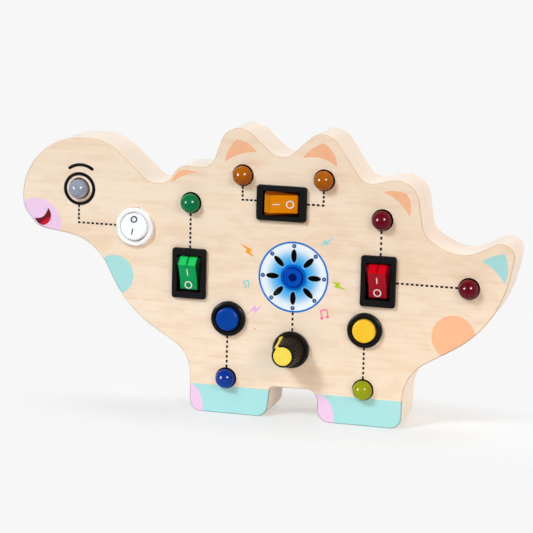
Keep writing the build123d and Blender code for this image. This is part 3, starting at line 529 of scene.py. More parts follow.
@dataclass(frozen=True)
class Plywood:
    """Pale plywood: grain on the faces and faint layers on the sides."""

    name: str
    face: Colour = (252, 230, 206)
    streak: Colour = (240, 207, 174)
    side: Colour = (250, 237, 224)
    side_line: Colour = (238, 218, 198)
    layer: float = 1.5

    def grain(self, shader: Shader) -> Socket:
        """Colour of a face: a slow figure, mottling, long streaks and short flecks.

        Args:
            shader: The material that is being built.

        Returns:
            The colour's socket.
        """
        amount = shader.math("MULTIPLY", shader.ramp(shader.noise((8, 8, 30), 3.0), 0.35, 0.75), 0.35)
        for scale, octaves, low, high, share in (
            ((90, 90, 260), 3.0, 0.42, 0.7, 0.42),
            ((38, 38, 700), 4.0, 0.45, 0.75, 0.32),
            ((200, 200, 2600), 2.0, 0.6, 0.76, 0.18),
        ):
            part = shader.ramp(shader.noise(scale, octaves, (share, 3 * share)), low, high)
            amount = shader.math("ADD", amount, shader.math("MULTIPLY", part, share))
        return shader.blend(amount, linear(self.face), linear(self.streak))

    def layers(self, shader: Shader, depth: Socket) -> Socket:
        """Colour of the sides: thin lines between the layers, on a streaky ground.

        Args:
            shader: The material that is being built.
            depth: Distance behind the front face, in metres.

        Returns:
            The colour's socket.
        """
        ground = shader.ramp(shader.noise((120, 800, 120), 3.0), 0.35, 0.7)
        ground = shader.math("MULTIPLY", ground, 0.4)
        wobble = shader.math("MULTIPLY", shader.noise((60, 60, 60), 1.0), 0.25 * self.layer * MM)
        turns = shader.math("DIVIDE", shader.math("ADD", depth, wobble), self.layer * MM)
        line = shader.math("ABSOLUTE", shader.math("SUBTRACT", shader.math("FRACT", turns), 0.5))
        line = shader.math("MULTIPLY", shader.ramp(line, 0.36, 0.5), 0.4)
        return shader.blend(shader.math("ADD", ground, line), linear(self.side), linear(self.side_line))

    def face_colour(self, shader: Shader) -> Socket:
        """Colour of the flat faces."""
        return self.grain(shader)

    def rim_colour(self, shader: Shader, colour: Socket) -> Socket:
        """Colour of the eased edge, from that of the face beside it."""
        return colour

    def side_colour(self, shader: Shader, depth: Socket) -> Socket:
        """Colour of the sides at a depth behind the front face."""
        return self.layers(shader, depth)

    def material(self) -> bpy.types.Material:
        """Build the material."""
        shader = Shader(self.name)
        _, y, _ = shader.axes()
        depth = shader.math("SUBTRACT", y, Front.LEVEL)
        colour = self.face_colour(shader)
        colour = shader.blend(shader.beyond(depth, 0.08, 0.04), colour, self.rim_colour(shader, colour))
        rear = Front.THICKNESS / MM - 0.1
        on_side = shader.all_of(shader.beyond(depth, 0.42, 0.05), shader.within(depth, rear))
        colour = shader.blend(on_side, colour, self.side_colour(shader, depth))
        shader.finish("Base Color", colour)
        shader.polish(0.55, 0.1)
        shader.bump(shader.noise((90, 90, 2600), 3.0), 0.03 * MM)
        return shader.material


@dataclass(frozen=True)
class Spot:
    """Printed round or oval spot, cut off by the board's outline."""

    centre: Place
    reach: Place
    ink: Ink

    def mask(self, shader: Shader) -> Socket:
        """Mask of the spot, 1 inside and 0 outside."""
        across, above, _ = shader.from_place(self.centre)
        share = shader.length(
            shader.math("DIVIDE", across, self.reach[0] * MM),
            shader.math("DIVIDE", above, self.reach[1] * MM),
        )
        return shader.ramp(share, 1.01, 0.99)


@dataclass(frozen=True)
class DiscPrint:
    """Blue print of the sound disc, fading outwards, with a pale halo round each slot."""

    centre: Place
    radius: float = 14.4
    slots: int = 8
    slot_circle: float = 9.0
    slot_reach: Place = (2.8, 1.225)
    deep: Colour = (0, 158, 238)
    sky: Colour = (104, 190, 240)
    pale: Colour = (240, 246, 252)

    def lay(self, shader: Shader, colour: Socket) -> Socket:
        """Lay the print over a colour.

        Args:
            shader: The material that is being built.
            colour: Colour of the bare face.

        Returns:
            The colour with the print.
        """
        across, above, _ = shader.from_place(self.centre)
        radius = shader.length(across, above)
        disc = shader.blend(shader.ramp(radius, 5.5 * MM, 9 * MM), linear(self.deep), linear(self.sky))
        disc = shader.blend(shader.ramp(radius, 8 * MM, 13 * MM), disc, linear(self.pale))
        turn = 2 * math.pi / self.slots
        angle = shader.math("ADD", shader.math("ARCTAN2", above, across), 20.5 * turn)
        angle = shader.math("SUBTRACT", shader.math("MODULO", angle, turn), turn / 2)
        out = shader.math("MULTIPLY", radius, shader.math("COSINE", angle))
        out = shader.math("SUBTRACT", out, self.slot_circle * MM)
        aside = shader.math("MULTIPLY", radius, shader.math("SINE", angle))
        share = shader.length(
            shader.math("DIVIDE", out, self.slot_reach[0] * MM),
            shader.math("DIVIDE", aside, self.slot_reach[1] * MM),
        )
        halo = shader.math("MULTIPLY", shader.ramp(share, 1.4, 1.2), 0.12)
        disc = shader.blend(halo, disc, linear(self.pale))
        return shader.blend(shader.within(radius, self.radius), colour, disc)


@dataclass(frozen=True)
class PrintedPlywood(Plywood):
    """The front's plywood, with its flat prints and painted shade in its holes."""

    foot_top: float = 12.0
    spots: tuple[Spot, ...] = ()
    discs: tuple[DiscPrint, ...] = ()
    holes: tuple[Place, ...] = ()
    hole_radius: float = 4.75
    burn: Colour = (224, 188, 152)
    # Painted shade: dark as char, on the walls of the lamp holes.
    hole_shade: Colour = (40, 22, 14)

    def prints(self, shader: Shader) -> list[tuple[Socket, Ink]]:
        """Masks of the flat prints with their inks."""
        _, _, z = shader.axes()
        masks = [(shader.within(z, self.foot_top), Ink.TURQUOISE)]
        return masks + [(spot.mask(shader), spot.ink) for spot in self.spots]

    def face_colour(self, shader: Shader) -> Socket:
        """Colour of the face with all that is printed on it."""
        colour = self.grain(shader)
        for mask, ink in self.prints(shader):
            colour = shader.blend(mask, colour, linear(ink.value))
        for disc in self.discs:
            colour = disc.lay(shader, colour)
        return colour

    def rim_colour(self, shader: Shader, colour: Socket) -> Socket:
        """Singed edge of the bare wood, a darker print where it is printed, and the disc as it is."""
        rim = linear(self.burn)
        for mask, _ in self.prints(shader):
            rim = shader.blend(mask, rim, shader.blend(0.5, colour, linear(Ink.BLACK.value)))
        for disc in self.discs:
            rim = shader.blend(shader.inside(disc.centre, disc.radius), rim, colour)
        return rim

    def side_colour(self, shader: Shader, depth: Socket) -> Socket:
        """Layers on the outer sides, and painted shade, dark as char, on the walls of the lamp holes and
        the disc's slots.
        """
        colour = self.layers(shader, depth)
        for centre in self.holes:
            colour = shader.blend(shader.inside(centre, self.hole_radius), colour, linear(self.hole_shade))
        # Painted shade: black walls in the disc's slots.
        for disc in self.discs:
            black = linear(Ink.BLACK.value)
            colour = shader.blend(shader.inside(disc.centre, disc.radius), colour, black)
        return colour


def dress(names: Iterable[str], material: bpy.types.Material) -> None:
    """Give CAD nodes one material.

    Args:
        names: Names of the nodes.
        material: The material that they get.
    """
    for name in names:
        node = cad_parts[name]
        node.data.materials.clear()
        node.data.materials.append(material)


def add_object(name: str, mesh: bmesh.types.BMesh, material: bpy.types.Material) -> bpy.types.Object:
    """Put a mesh into the scene as an object of one material.

    Args:
        name: Name of the object and of its mesh.
        mesh: The mesh, which is freed.
        material: The material that it gets.

    Returns:
        The new object.
    """
    data = bpy.data.meshes.new(name)
    mesh.to_mesh(data)
    mesh.free()
    data.materials.append(material)
    made = bpy.data.objects.new(name, data)
    bpy.context.scene.collection.objects.link(made)
    return made


# ---- Flat art ---------------------------------------------------------------------------------
@dataclass
class Canvas:
    """Thin flat shapes on one plane, gathered into one mesh.

    Shapes are drawn in millimetres across and up the plane. The pose takes them from there, with
    the plane's own Z pointing out of it, into the shared frame in metres. Where the face is
    hollow, the shapes follow an arc that rises towards both ends of the plane's Y.
    """

    pose: Matrix
    thickness: float = 0.03
    hollow_radius: float = 0.0
    mesh: bmesh.types.BMesh = field(default_factory=bmesh.new)

    def settle(self, verts: Iterable[bmesh.types.BMVert]) -> None:
        """Raise new flat faces to the plane's thickness and take them to the shared frame.

        Args:
            verts: Vertices of the new faces, on the plane.
        """
        verts = list(verts)
        faces = list({face for vert in verts for face in vert.link_faces})
        made = bmesh.ops.extrude_face_region(self.mesh, geom=faces)["geom"]
        top = [item for item in made if isinstance(item, bmesh.types.BMVert)]
        bmesh.ops.translate(self.mesh, verts=top, vec=(0, 0, self.thickness))
        if self.hollow_radius:
            for vert in verts + top:
                vert.co.z += vert.co.y ** 2 / (2 * self.hollow_radius)
        bmesh.ops.transform(self.mesh, verts=verts + top, matrix=self.pose @ Matrix.Scale(MM, 4))

    def outline(self, points: Sequence[Place], rounding: float = 0.0) -> None:
        """Add a filled outline.

        Args:
            points: Its corners in order.
            rounding: How far each corner is rounded off.
        """
        verts = [self.mesh.verts.new((x, y, 0)) for x, y in points]
        face = self.mesh.faces.new(verts)
        if rounding:
            made = bmesh.ops.bevel(
                self.mesh, geom=verts, affect="VERTICES", offset=rounding, segments=4, profile=0.5,
                material=-1,
            )
            verts = made["verts"]
            if face.is_valid:
                verts = list({vert for item in made["faces"] for vert in item.verts} | set(face.verts))
        self.settle(verts)

    def disc(self, centre: Place, radius: float, steps: int = 48) -> None:
        """Add a filled circle."""
        at = Matrix.Translation((*centre, 0))
        made = bmesh.ops.create_circle(self.mesh, cap_ends=True, segments=steps, radius=radius, matrix=at)
        self.settle(made["verts"])

    def ring(
        self, centre: Place, outer: float, inner: float, start: float = 0.0, sweep: float = 360.0
    ) -> None:
        """Add a ring or a part of one.

        Args:
            centre: Its centre.
            outer: Outer radius.
            inner: Inner radius.
            start: Angle of its first end, in degrees from the plane's X.
            sweep: Angle that it spans, in degrees.
        """
        begin = math.radians(start)
        first = [
            self.mesh.verts.new((math.cos(begin) * r, math.sin(begin) * r, 0)) for r in (inner, outer)
        ]
        edge = self.mesh.edges.new(first)
        steps = max(8, int(sweep / 7.5))
        whole = sweep >= 360
        bmesh.ops.spin(
            self.mesh, geom=[*first, edge], cent=(0, 0, 0), axis=(0, 0, 1),
            angle=math.radians(sweep), steps=steps, use_merge=whole, use_duplicate=False,
        )
        reached = {first[0], first[1]}
        front = set(reached)
        while front:
            front = {e.other_vert(v) for v in front for e in v.link_edges} - reached
            reached |= front
        bmesh.ops.translate(self.mesh, verts=list(reached), vec=(*centre, 0))
        self.settle(reached)

    def bar(self, start: Place, end: Place, width: float) -> None:
        """Add a straight stroke with square ends."""
        along = Vector((end[0] - start[0], end[1] - start[1]))
        middle = Vector((end[0] + start[0], end[1] + start[1])) / 2
        turn = Matrix.Rotation(math.atan2(along.y, along.x), 4, "Z")
        size = Matrix.Diagonal((along.length, width, 1, 1))
        at = Matrix.Translation((*middle, 0)) @ turn @ size
        parts = 6 if self.hollow_radius else 1
        made = bmesh.ops.create_grid(self.mesh, x_segments=parts, y_segments=1, size=0.5, matrix=at)
        self.settle(made["verts"])

    def dashes(self, start: Place, end: Place, width: float, period: float, share: float) -> None:
        """Add a dashed line with a dash at both ends.

        Args:
            start: Its first end.
            end: Its last end.
            width: Width of the stroke.
            period: Distance from one dash to the next.
            share: Share of the period that is drawn.
        """
        origin, goal = Vector(start), Vector(end)
        way = (goal - origin).normalized()
        dash = way * period * share
        gaps = max(1, round(((goal - origin).length - dash.length) / period))
        step = (goal - dash - origin) / gaps
        for i in range(gaps + 1):
            first = origin + step * i
            self.bar(tuple(first), tuple(first + dash), width)

    def done(self, name: str, ink: Ink, body: str = BODY, slot: str = "printed_ply") -> None:
        """Finish the gathered shapes as one piece.

        Args:
            name: Name of the piece.
            ink: The ink that it is printed in.
            body: The CAD body that it rides on.
            slot: Name of a material slot; not used.
        """
        bmesh.ops.recalc_face_normals(self.mesh, faces=self.mesh.faces)
        piece = add_object(name, self.mesh, ink.finish().material())
        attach(piece, body)
        log.info("%s: %d faces on %s", name, len(piece.data.polygons), body)


def curved(points: Sequence[tuple[float, float, float]], steps: int = 8) -> list[Place]:
    """Corners of an outline whose sides may be arcs.

    Args:
        points: Across, up and the rise of the arc to the next point, positive to the left of the way.
        steps: Straight steps that an arc is made of.

    Returns:
        The outline's corners.
    """
    corners: list[Place] = []
    for i, (x, y, rise) in enumerate(points):
        start, end = Vector((x, y)), Vector(points[(i + 1) % len(points)][:2])
        corners.append((x, y))
        if not rise:
            continue
        chord = end - start
        side = Vector((-chord.y, chord.x)).normalized()
        radius = (chord.length_squared / 4 + rise * rise) / (2 * abs(rise))
        middle = (start + end) / 2 + side * (rise - math.copysign(radius, rise))
        begin = math.atan2(start.y - middle.y, start.x - middle.x)
        sweep = -2 * math.asin(min(1.0, chord.length / 2 / radius)) * math.copysign(1, rise)
        for k in range(1, steps):
            angle = begin + sweep * k / steps
            corners.append((middle.x + radius * math.cos(angle), middle.y + radius * math.sin(angle)))
    return corners


@dataclass
class PrintedArt:
    """Everything printed on the front face apart from what is mixed into the wood's colour."""

    stroke: float = 0.84
    period: float = 2.05
    share: float = 0.58
    lines: tuple[tuple[Place, Place], ...] = (
        ((-80.9, 85.4), (-80.9, 79.0)),
        ((-81.3, 77.8), (-63.9, 77.8)),
        ((-31.1, 84.9), (-31.1, 70.2)),
        ((-8.7, 98.0), (-8.7, 93.5)),
        ((-9.1, 92.3), (-2.4, 92.3)),
        ((26.1, 98.0), (26.1, 93.2)),
        ((19.1, 92.1), (26.5, 92.1)),
        ((50.9, 83.1), (50.9, 72.8)),
        ((57.8, 61.8), (83.6, 61.8)),
        ((14.25, 46.1), (14.25, 38.2)),
        ((-14.0, 33.9), (-14.0, 20.1)),
        ((45.2, 33.6), (45.2, 20.2)),
    )
    eye: Place = (-80.7, 92.3)
    eye_outer: float = 7.1
    eye_inner: float = 5.65
    brow: Place = (-80.2, 93.75)
    brow_radius: float = 8.8
    brow_width: float = 1.38
    brow_half_angle: float = 35.0
    plate_rounding: float = 0.25
    overlap_step: float = 0.005

    def build(self) -> None:
        """Build every printed piece."""
        self.dashed_lines()
        self.eye_and_brow()
        self.smile()
        self.plates()
        self.bolts()
        self.notes()

    def dashed_lines(self) -> None:
        """Dashed lines from each lamp to its control."""
        canvas = Canvas(Front.plane())
        for start, end in self.lines:
            canvas.dashes(start, end, self.stroke, self.period, self.share)
        canvas.done("dashed_lines", Ink.BLACK)

    def eye_and_brow(self) -> None:
        """Ring round the eye lamp and the brow above it, with its round ends."""
        canvas = Canvas(Front.plane())
        canvas.ring(self.eye, self.eye_outer, self.eye_inner)
        half = self.brow_width / 2
        start = 90 - self.brow_half_angle
        outer, inner = self.brow_radius + half, self.brow_radius - half
        canvas.ring(self.brow, outer, inner, start, 2 * self.brow_half_angle)
        for side in (-1, 1):
            angle = math.radians(90 + side * self.brow_half_angle)
            end = (
                self.brow[0] + self.brow_radius * math.cos(angle),
                self.brow[1] + self.brow_radius * math.sin(angle),
            )
            canvas.disc(end, half, 24)
        canvas.done("eye_print", Ink.BLACK)

    def smile(self) -> None:
        """Smile with a tongue in its lower part."""
        mouth = Canvas(Front.plane())
        mouth.outline(curved([
            (-94.86, 83.03, 0.74), (-93.82, 78.16, 0.68), (-97.59, 75.43, 0.5), (-101.03, 78.45, -0.42),
            (-96.93, 79.34, -0.24),
        ]))
        mouth.done("smile_print", Ink.MOUTH)
        tongue = Canvas(Front.plane(0.02))
        tongue.outline(curved([
            (-98.35, 75.85, -0.1), (-97.5, 75.55, -0.68), (-93.9, 78.16, 0.0), (-93.78, 79.3, -0.3),
            (-97.7, 76.7, 0.0),
        ]))
        tongue.done("tongue_print", Ink.TONGUE)

    def plates(self) -> None:
        """Soft triangular marks in the plates on the back and in the tail."""
        for name, ink, marks in (
            ("plate_print", Ink.ORANGE, (
                [(-39.9, 97.6, 0.8), (-35.4, 103.1, 0.5), (-29.0, 102.4, -0.7)],
                [(-16.6, 107.7, 1.0), (-11.7, 117.4, 1.1), (-3.0, 112.6, -1.3)],
                [(16.8, 111.3, 0.9), (25.3, 118.0, 1.6), (31.3, 108.6, -1.8)],
                [(51.1, 99.4, 0.8), (60.9, 99.2, 1.1), (62.4, 90.0, -1.4)],
            )),
            ("tail_print", Ink.TURQUOISE, (
                [(93.1, 73.4, 0.7), (102.3, 77.2, 1.3), (102.8, 64.8, -1.1)],
            )),
        ):
            canvas = Canvas(Front.plane())
            for corners in marks:
                canvas.outline(curved(corners), self.plate_rounding)
            canvas.done(name, ink)

    def bolts(self) -> None:
        """Four small lightning bolts round the disc."""
        for name, ink, corners in (
            ("bolt_orange_print", Ink.BOLT_ORANGE,
             [(-9.3, 73.9), (-4.0, 71.5), (-4.9, 70.6), (-2.9, 68.3), (-7.0, 70.2), (-6.2, 71.2)]),
            ("bolt_blue_print", Ink.BOLT_BLUE,
             [(25.2, 74.9), (27.1, 77.8), (27.9, 76.9), (30.8, 80.3), (28.1, 75.2), (27.4, 76.4)]),
            ("bolt_lime_print", Ink.BOLT_LIME,
             [(30.3, 60.6), (34.3, 60.0), (33.8, 58.9), (37.2, 57.3), (31.6, 58.2), (32.5, 59.2)]),
            ("bolt_violet_print", Ink.BOLT_VIOLET,
             [(-5.9, 43.6), (-2.0, 48.0), (-1.6, 46.5), (1.3, 48.3), (-2.0, 44.5), (-2.6, 45.8)]),
        ):
            canvas = Canvas(Front.plane())
            canvas.outline(corners)
            canvas.done(name, ink)

    def notes(self) -> None:
        """Two small music notes and a knot in the wood."""
        for name, ink, feet, heads, stroke, bead in (
            ("note_small_print", Ink.NOTE_TURQUOISE,
             ((-6.3, 55.5), (-5.0, 55.9)), ((-7.5, 57.5), (-5.4, 58.4)), 0.48, 0.42),
            ("note_large_print", Ink.NOTE_PINK,
             ((27.1, 44.8), (29.5, 45.5)), ((26.1, 47.8), (28.8, 48.5)), 0.52, 0.68),
        ):
            canvas = Canvas(Front.plane())
            canvas.bar(*heads, 1.2 * stroke)
            for foot, head in zip(feet, heads):
                canvas.thickness += self.overlap_step
                canvas.bar(foot, head, stroke)
                canvas.thickness += self.overlap_step
                canvas.disc((foot[0] - 0.4 * bead, foot[1] - 0.1), bead, 20)
            canvas.done(name, ink)
        knot = Canvas(Front.plane())
        knot.disc((-2.0, 37.8), 0.28, 12)
        knot.done("knot_print", Ink.KNOT)


# ---- Assemblies -------------------------------------------------------------------------------
@dataclass
class Board:
    """The three wooden layers and the back's screws."""

    # Lamps whose holes get painted shade on their walls.
    shaded_hole_lamps: tuple[str, ...] = (
        "green", "amber_left", "amber_right", "red_top", "red_tail", "blue", "lime",
    )
    spots: tuple[Spot, ...] = (
        Spot((-100.0, 76.1), (11.0, 11.0), Ink.PINK),
        Spot((-64.6, 56.3), (8.5, 8.5), Ink.TURQUOISE),
        Spot((82.6, 41.0), (9.2, 9.2), Ink.ORANGE),
        Spot((-30.8, 0.8), (6.7, 11.3), Ink.PINK),
        Spot((26.0, 0.8), (7.3, 11.3), Ink.PINK),
    )

    def dress(self) -> None:
        """Give the wooden layers and screws their materials."""
        front = PrintedPlywood(
            "printed_front", spots=self.spots, discs=(DiscPrint(middle_of("disc_lens")),),
            holes=tuple(middle_of(f"lamp_{name}") for name in self.shaded_hole_lamps),
        )
        dress(["front_panel"], front.material())
        dress(["core_frame"], Plywood("core_layers").material())
        dress(["back_panel"], Plywood("back_face").material())
        dress(["back_panel_screws"], Metal.SCREW_STEEL.material())


@dataclass
class Lamps:
    """Dome lamps, each in its own tint, with the tint of its lower part (painted light) and the dark tint
    of its foot (painted shade).
    """

    # Each row: lamp, tint, lower tint (painted light passing through), foot tint (painted shade).
    tints: tuple[tuple[str, Colour, Colour, Colour], ...] = (
        ("eye", (150, 155, 172), (158, 166, 184), (120, 112, 112)),
        ("green", (0, 118, 66), (0, 122, 70), (3, 22, 12)),
        ("amber_left", (174, 92, 0), (166, 82, 4), (62, 4, 2)),
        ("amber_right", (174, 92, 0), (166, 82, 4), (62, 4, 2)),
        ("red_top", (106, 0, 20), (98, 2, 30), (26, 0, 6)),
        ("red_tail", (106, 0, 20), (98, 2, 30), (26, 0, 6)),
        ("blue", (0, 50, 148), (0, 62, 156), (4, 6, 34)),
        ("lime", (150, 156, 4), (158, 164, 14), (52, 52, 2)),
    )

    def dress(self) -> None:
        """Give each dome its tints and the leads their metal."""
        for name, tint, low, foot in self.tints:
            node = f"lamp_{name}"
            dress([node], Dome(f"{node}_dome", middle_of(node), tint, low, foot).material())
        dress(["lamp_leads"], Metal.TINNED_PIN.material())


@dataclass
class RockerSwitch:
    """A rectangular rocker switch: black bezel, coloured rocker and its marks."""

    name: str
    face: Colour
    # Painted shade towards the pressed end, painted highlight on the raised end, painted shade on the
    # cheeks and lines.
    face_low_shade: Colour
    facet_highlight: Colour
    rocker_shade: Colour
    split: float = 0.0
    crease_shade: float = 0.0
    turn: float = 0.0
    on_place: float = 2.1
    on_length: float = 3.1
    off_place: float = -3.8
    off_radius: float = 1.66
    tilt: float = 20.0
    pivot_depth: float = 1.0
    face_height: float = 3.4
    hollow_radius: float = 25.2
    on_stroke: float = 0.38
    off_stroke: float = 0.44
    marks_aside: float = -0.12

    def face_pose(self, centre: Place) -> Matrix:
        """Plane of the rocker's face, with Y towards its raised end."""
        turned = Front.plane_at(centre) @ Matrix.Rotation(math.radians(self.turn), 4, "Z")
        pivot = turned @ Matrix.Translation((0, 0, -self.pivot_depth * MM))
        tilted = pivot @ Matrix.Rotation(math.radians(self.tilt), 4, "X")
        return tilted @ Matrix.Translation((0, 0, self.face_height * MM))

    def build(self) -> None:
        """Dress the switch and print its marks."""
        centre = middle_of(f"{self.name}_switch_housing")
        black = Moulded("switch_black", (23, 23, 24), roughness=0.36, gloss=0.05)
        dress([f"{self.name}_switch_housing"], black.material())
        plastic = RockerPlastic(
            f"{self.name}_rocker_tint", centre, bool(self.turn), self.face, self.face_low_shade, self.facet_highlight,
            self.rocker_shade, self.split, self.crease_shade,
        )
        dress([f"{self.name}_switch_rocker"], plastic.material())
        dress([f"{self.name}_switch_terminals"], Metal.BLADE_BRASS.material())
        marks = Canvas(self.face_pose(centre), hollow_radius=self.hollow_radius)
        half = self.on_length / 2
        aside = self.marks_aside
        marks.bar((aside, self.on_place - half), (aside, self.on_place + half), self.on_stroke)
        marks.ring((aside, self.off_place), self.off_radius, self.off_radius - self.off_stroke)
        body = f"{self.name}_rocker"
        marks.done(f"{self.name}_switch_marks", Ink.MARK_WHITE, body, f"{body}_plastic")


@dataclass
class RoundSwitch:
    """The round white rocker switch and its marks."""

    tilt: float = 14.0
    pivot_proud: float = 0.3
    face_height: float = 2.2
    on_low: Place = (-0.57, -3.72)
    on_high: Place = (-0.23, -1.15)
    on_width: float = 0.5
    off_place: Place = (-0.1, 2.75)
    off_radius: float = 1.5
    off_width: float = 0.6

    def build(self) -> None:
        """Dress the switch and print its marks."""
        white = Moulded("switch_white", (255, 255, 255), roughness=0.25, gloss=0.15)
        dress(["white_switch_housing", "white_switch_rocker"], white.material())
        dress(["white_switch_terminals"], Metal.BLADE_BRASS.material())
        upright = Front.plane_at(middle_of("white_switch_housing"))
        pivot = upright @ Matrix.Translation((0, 0, self.pivot_proud * MM))
        tilted = pivot @ Matrix.Rotation(math.radians(-self.tilt), 4, "X")
        marks = Canvas(tilted @ Matrix.Translation((0, 0, self.face_height * MM)))
        marks.ring(self.off_place, self.off_radius, self.off_radius - self.off_width)
        marks.bar(self.on_low, self.on_high, self.on_width)
        marks.done("white_switch_marks", Ink.MARK_GREY, "white_rocker", "white_plastic")


@dataclass
class PushButton:
    """A push button: black ring, coloured cap, and its spring, nut and pins."""

    name: str
    tint: Colour
    travel: float = 2.0

    def coil(self) -> None:
        """Spring, as a copy of the CAD spring that rides on the board."""
        node = f"{self.name}_button_spring"
        mesh = bmesh.new()
        mesh.from_mesh(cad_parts[node].data)
        bmesh.ops.remove_doubles(mesh, verts=mesh.verts, dist=1e-7)
        piece = add_object(f"{self.name}_button_coil", mesh, Metal.SPRING_WIRE.material())
        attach(piece, BODY)
        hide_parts(node)
        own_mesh(piece)

    def build(self) -> None:
        """Give the button's pieces their materials and make its spring."""
        black = Moulded("button_black", (18, 18, 20), roughness=0.3, gloss=0.1)
        dress([f"{self.name}_button_housing", f"{self.name}_button_nut"], black.material())
        cap = Moulded(f"{self.name}_cap", self.tint, roughness=0.3, gloss=0.08)
        dress([f"{self.name}_button_cap"], cap.material())
        self.coil()
        dress([f"{self.name}_button_terminals"], Metal.TINNED_PIN.material())


@dataclass
class RotaryKnob:
    """The skirted knob and the control that it turns."""

    steel: tuple[str, ...] = ("body", "shaft", "nut", "washer")
    pointer_angle: float = 125.0
    ridge_width: float = 1.5
    ridge_profile: tuple[Place, ...] = (
        (4.3, 14.93), (4.85, 14.93), (6.45, 4.7), (6.85, 4.0), (6.85, 3.2), (6.2, 3.0), (4.3, 14.2),
    )

    def ridge(self, material: bpy.types.Material) -> None:
        """Raised line down the knob's side, with a bolder end by the skirt.

        Args:
            material: The pointer's material.
        """
        mesh = bmesh.new()
        half = self.ridge_width / 2
        face = mesh.faces.new([mesh.verts.new((out, -half, height)) for out, height in self.ridge_profile])
        made = bmesh.ops.extrude_face_region(mesh, geom=[face])["geom"]
        top = [item for item in made if isinstance(item, bmesh.types.BMVert)]
        bmesh.ops.translate(mesh, verts=top, vec=(0, self.ridge_width, 0))
        turn = Matrix.Rotation(math.radians(self.pointer_angle), 4, "Z")
        pose = Front.plane_at(middle_of("knob")) @ turn @ Matrix.Scale(MM, 4)
        bmesh.ops.transform(mesh, verts=mesh.verts, matrix=pose)
        bmesh.ops.recalc_face_normals(mesh, faces=mesh.faces)
        piece = add_object("pointer_ridge", mesh, material)
        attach(piece, "knob_group")

    def build(self) -> None:
        """Give the knob's pieces their materials and raise the pointer's line."""
        dress(["knob"], KnobPlastic("knob_black", middle_of("knob")).material())
        pointer = Moulded("pointer_yellow", (252, 222, 80), roughness=0.4, gloss=0.15).material()
        dress(["knob_pointer"], pointer)
        self.ridge(pointer)
        dress([f"potentiometer_{part}" for part in self.steel], Metal.CONTROL_STEEL.material())
        dress(["potentiometer_lugs"], Metal.TINNED_PIN.material())


@dataclass
class SoundDisc:
    """The printed disc with its lens, small rings and what lies behind it."""

    radius: float = 14.3
    line: float = 0.78
    mark_circle: float = 13.2
    mark_radius: float = 0.9
    mark_stroke: float = 0.5
    marks: int = 8

    def print_rings(self, centre: Place) -> None:
        """Outline of the disc and the small rings round its rim."""
        outline = Canvas(Front.plane())
        outline.ring(centre, self.radius + self.line, self.radius)
        outline.done("disc_outline_print", Ink.BLUE_LINE)
        rings, dots = Canvas(Front.plane(0.02)), Canvas(Front.plane(0.01))
        for i in range(self.marks):
            angle = math.radians(90 + i * 360 / self.marks)
            at = (
                centre[0] + self.mark_circle * math.cos(angle),
                centre[1] + self.mark_circle * math.sin(angle),
            )
            rings.ring(at, self.mark_radius, self.mark_radius - self.mark_stroke)
            dots.disc(at, self.mark_radius - self.mark_stroke / 2, 24)
        rings.done("disc_rings_print", Ink.NAVY)
        dots.done("disc_dots_print", Ink.RING_CENTRE)

    def build(self) -> None:
        """Dress the disc's pieces and print its rings."""
        centre = middle_of("disc_lens")
        self.print_rings(centre)
        dress(["disc_lens"], LensPlastic("disc_lens_blue", centre).material())
        dress(["disc_lamp"], Moulded("chip_white", (230, 230, 215), roughness=0.5).material())
        dress(["sound_board"], Moulded("board_green", (20, 70, 42), roughness=0.4).material())
        dress(["speaker"], Moulded("speaker_grey", (34, 34, 36), roughness=0.5).material())
        dress(["sound_board_screws"], Metal.SCREW_STEEL.material())


@dataclass
class BatteryBox:
    """The battery box in the back, its door and its cells."""

    white: Colour = (232, 230, 224)
    jacket: Colour = (38, 44, 52)

    def dress(self) -> None:
        """Give the battery box's pieces their materials."""
        dress(["battery_box", "battery_door"], Moulded("box_white", self.white, roughness=0.42).material())
        dress(["battery_box_screws", "battery_door_screws"], Metal.SCREW_STEEL.material())
        dress(["batteries"], Moulded("cell_jacket", self.jacket).material())
        dress(["battery_springs", "battery_plates"], Metal.SPRING_WIRE.material())


# ---- Studio -----------------------------------------------------------------------------------
@dataclass(frozen=True)
class SoftBox:
    """Square soft light that points at the board."""

    name: str
    towards: tuple[float, float, float]
    side: float
    power: float
    colour: tuple[float, float, float] = (1.0, 1.0, 1.0)
    mirrored: bool = True
    lighting: bool = True
    distance: float = 1.2

    def build(self, aim: Vector) -> None:
        """Put the light in the scene.

        Args:
            aim: The point that it lights.
        """
        data = bpy.data.lights.new(self.name, "AREA")
        data.size = self.side
        data.energy = self.power
        data.color = self.colour
        light = bpy.data.objects.new(self.name, data)
        way = Vector(self.towards).normalized()
        light.location = aim + way * self.distance
        light.rotation_mode = "QUATERNION"
        light.rotation_quaternion = way.to_track_quat("Z", "Y")
        light.visible_glossy = self.mirrored
        light.visible_diffuse = self.lighting
        bpy.context.scene.collection.objects.link(light)


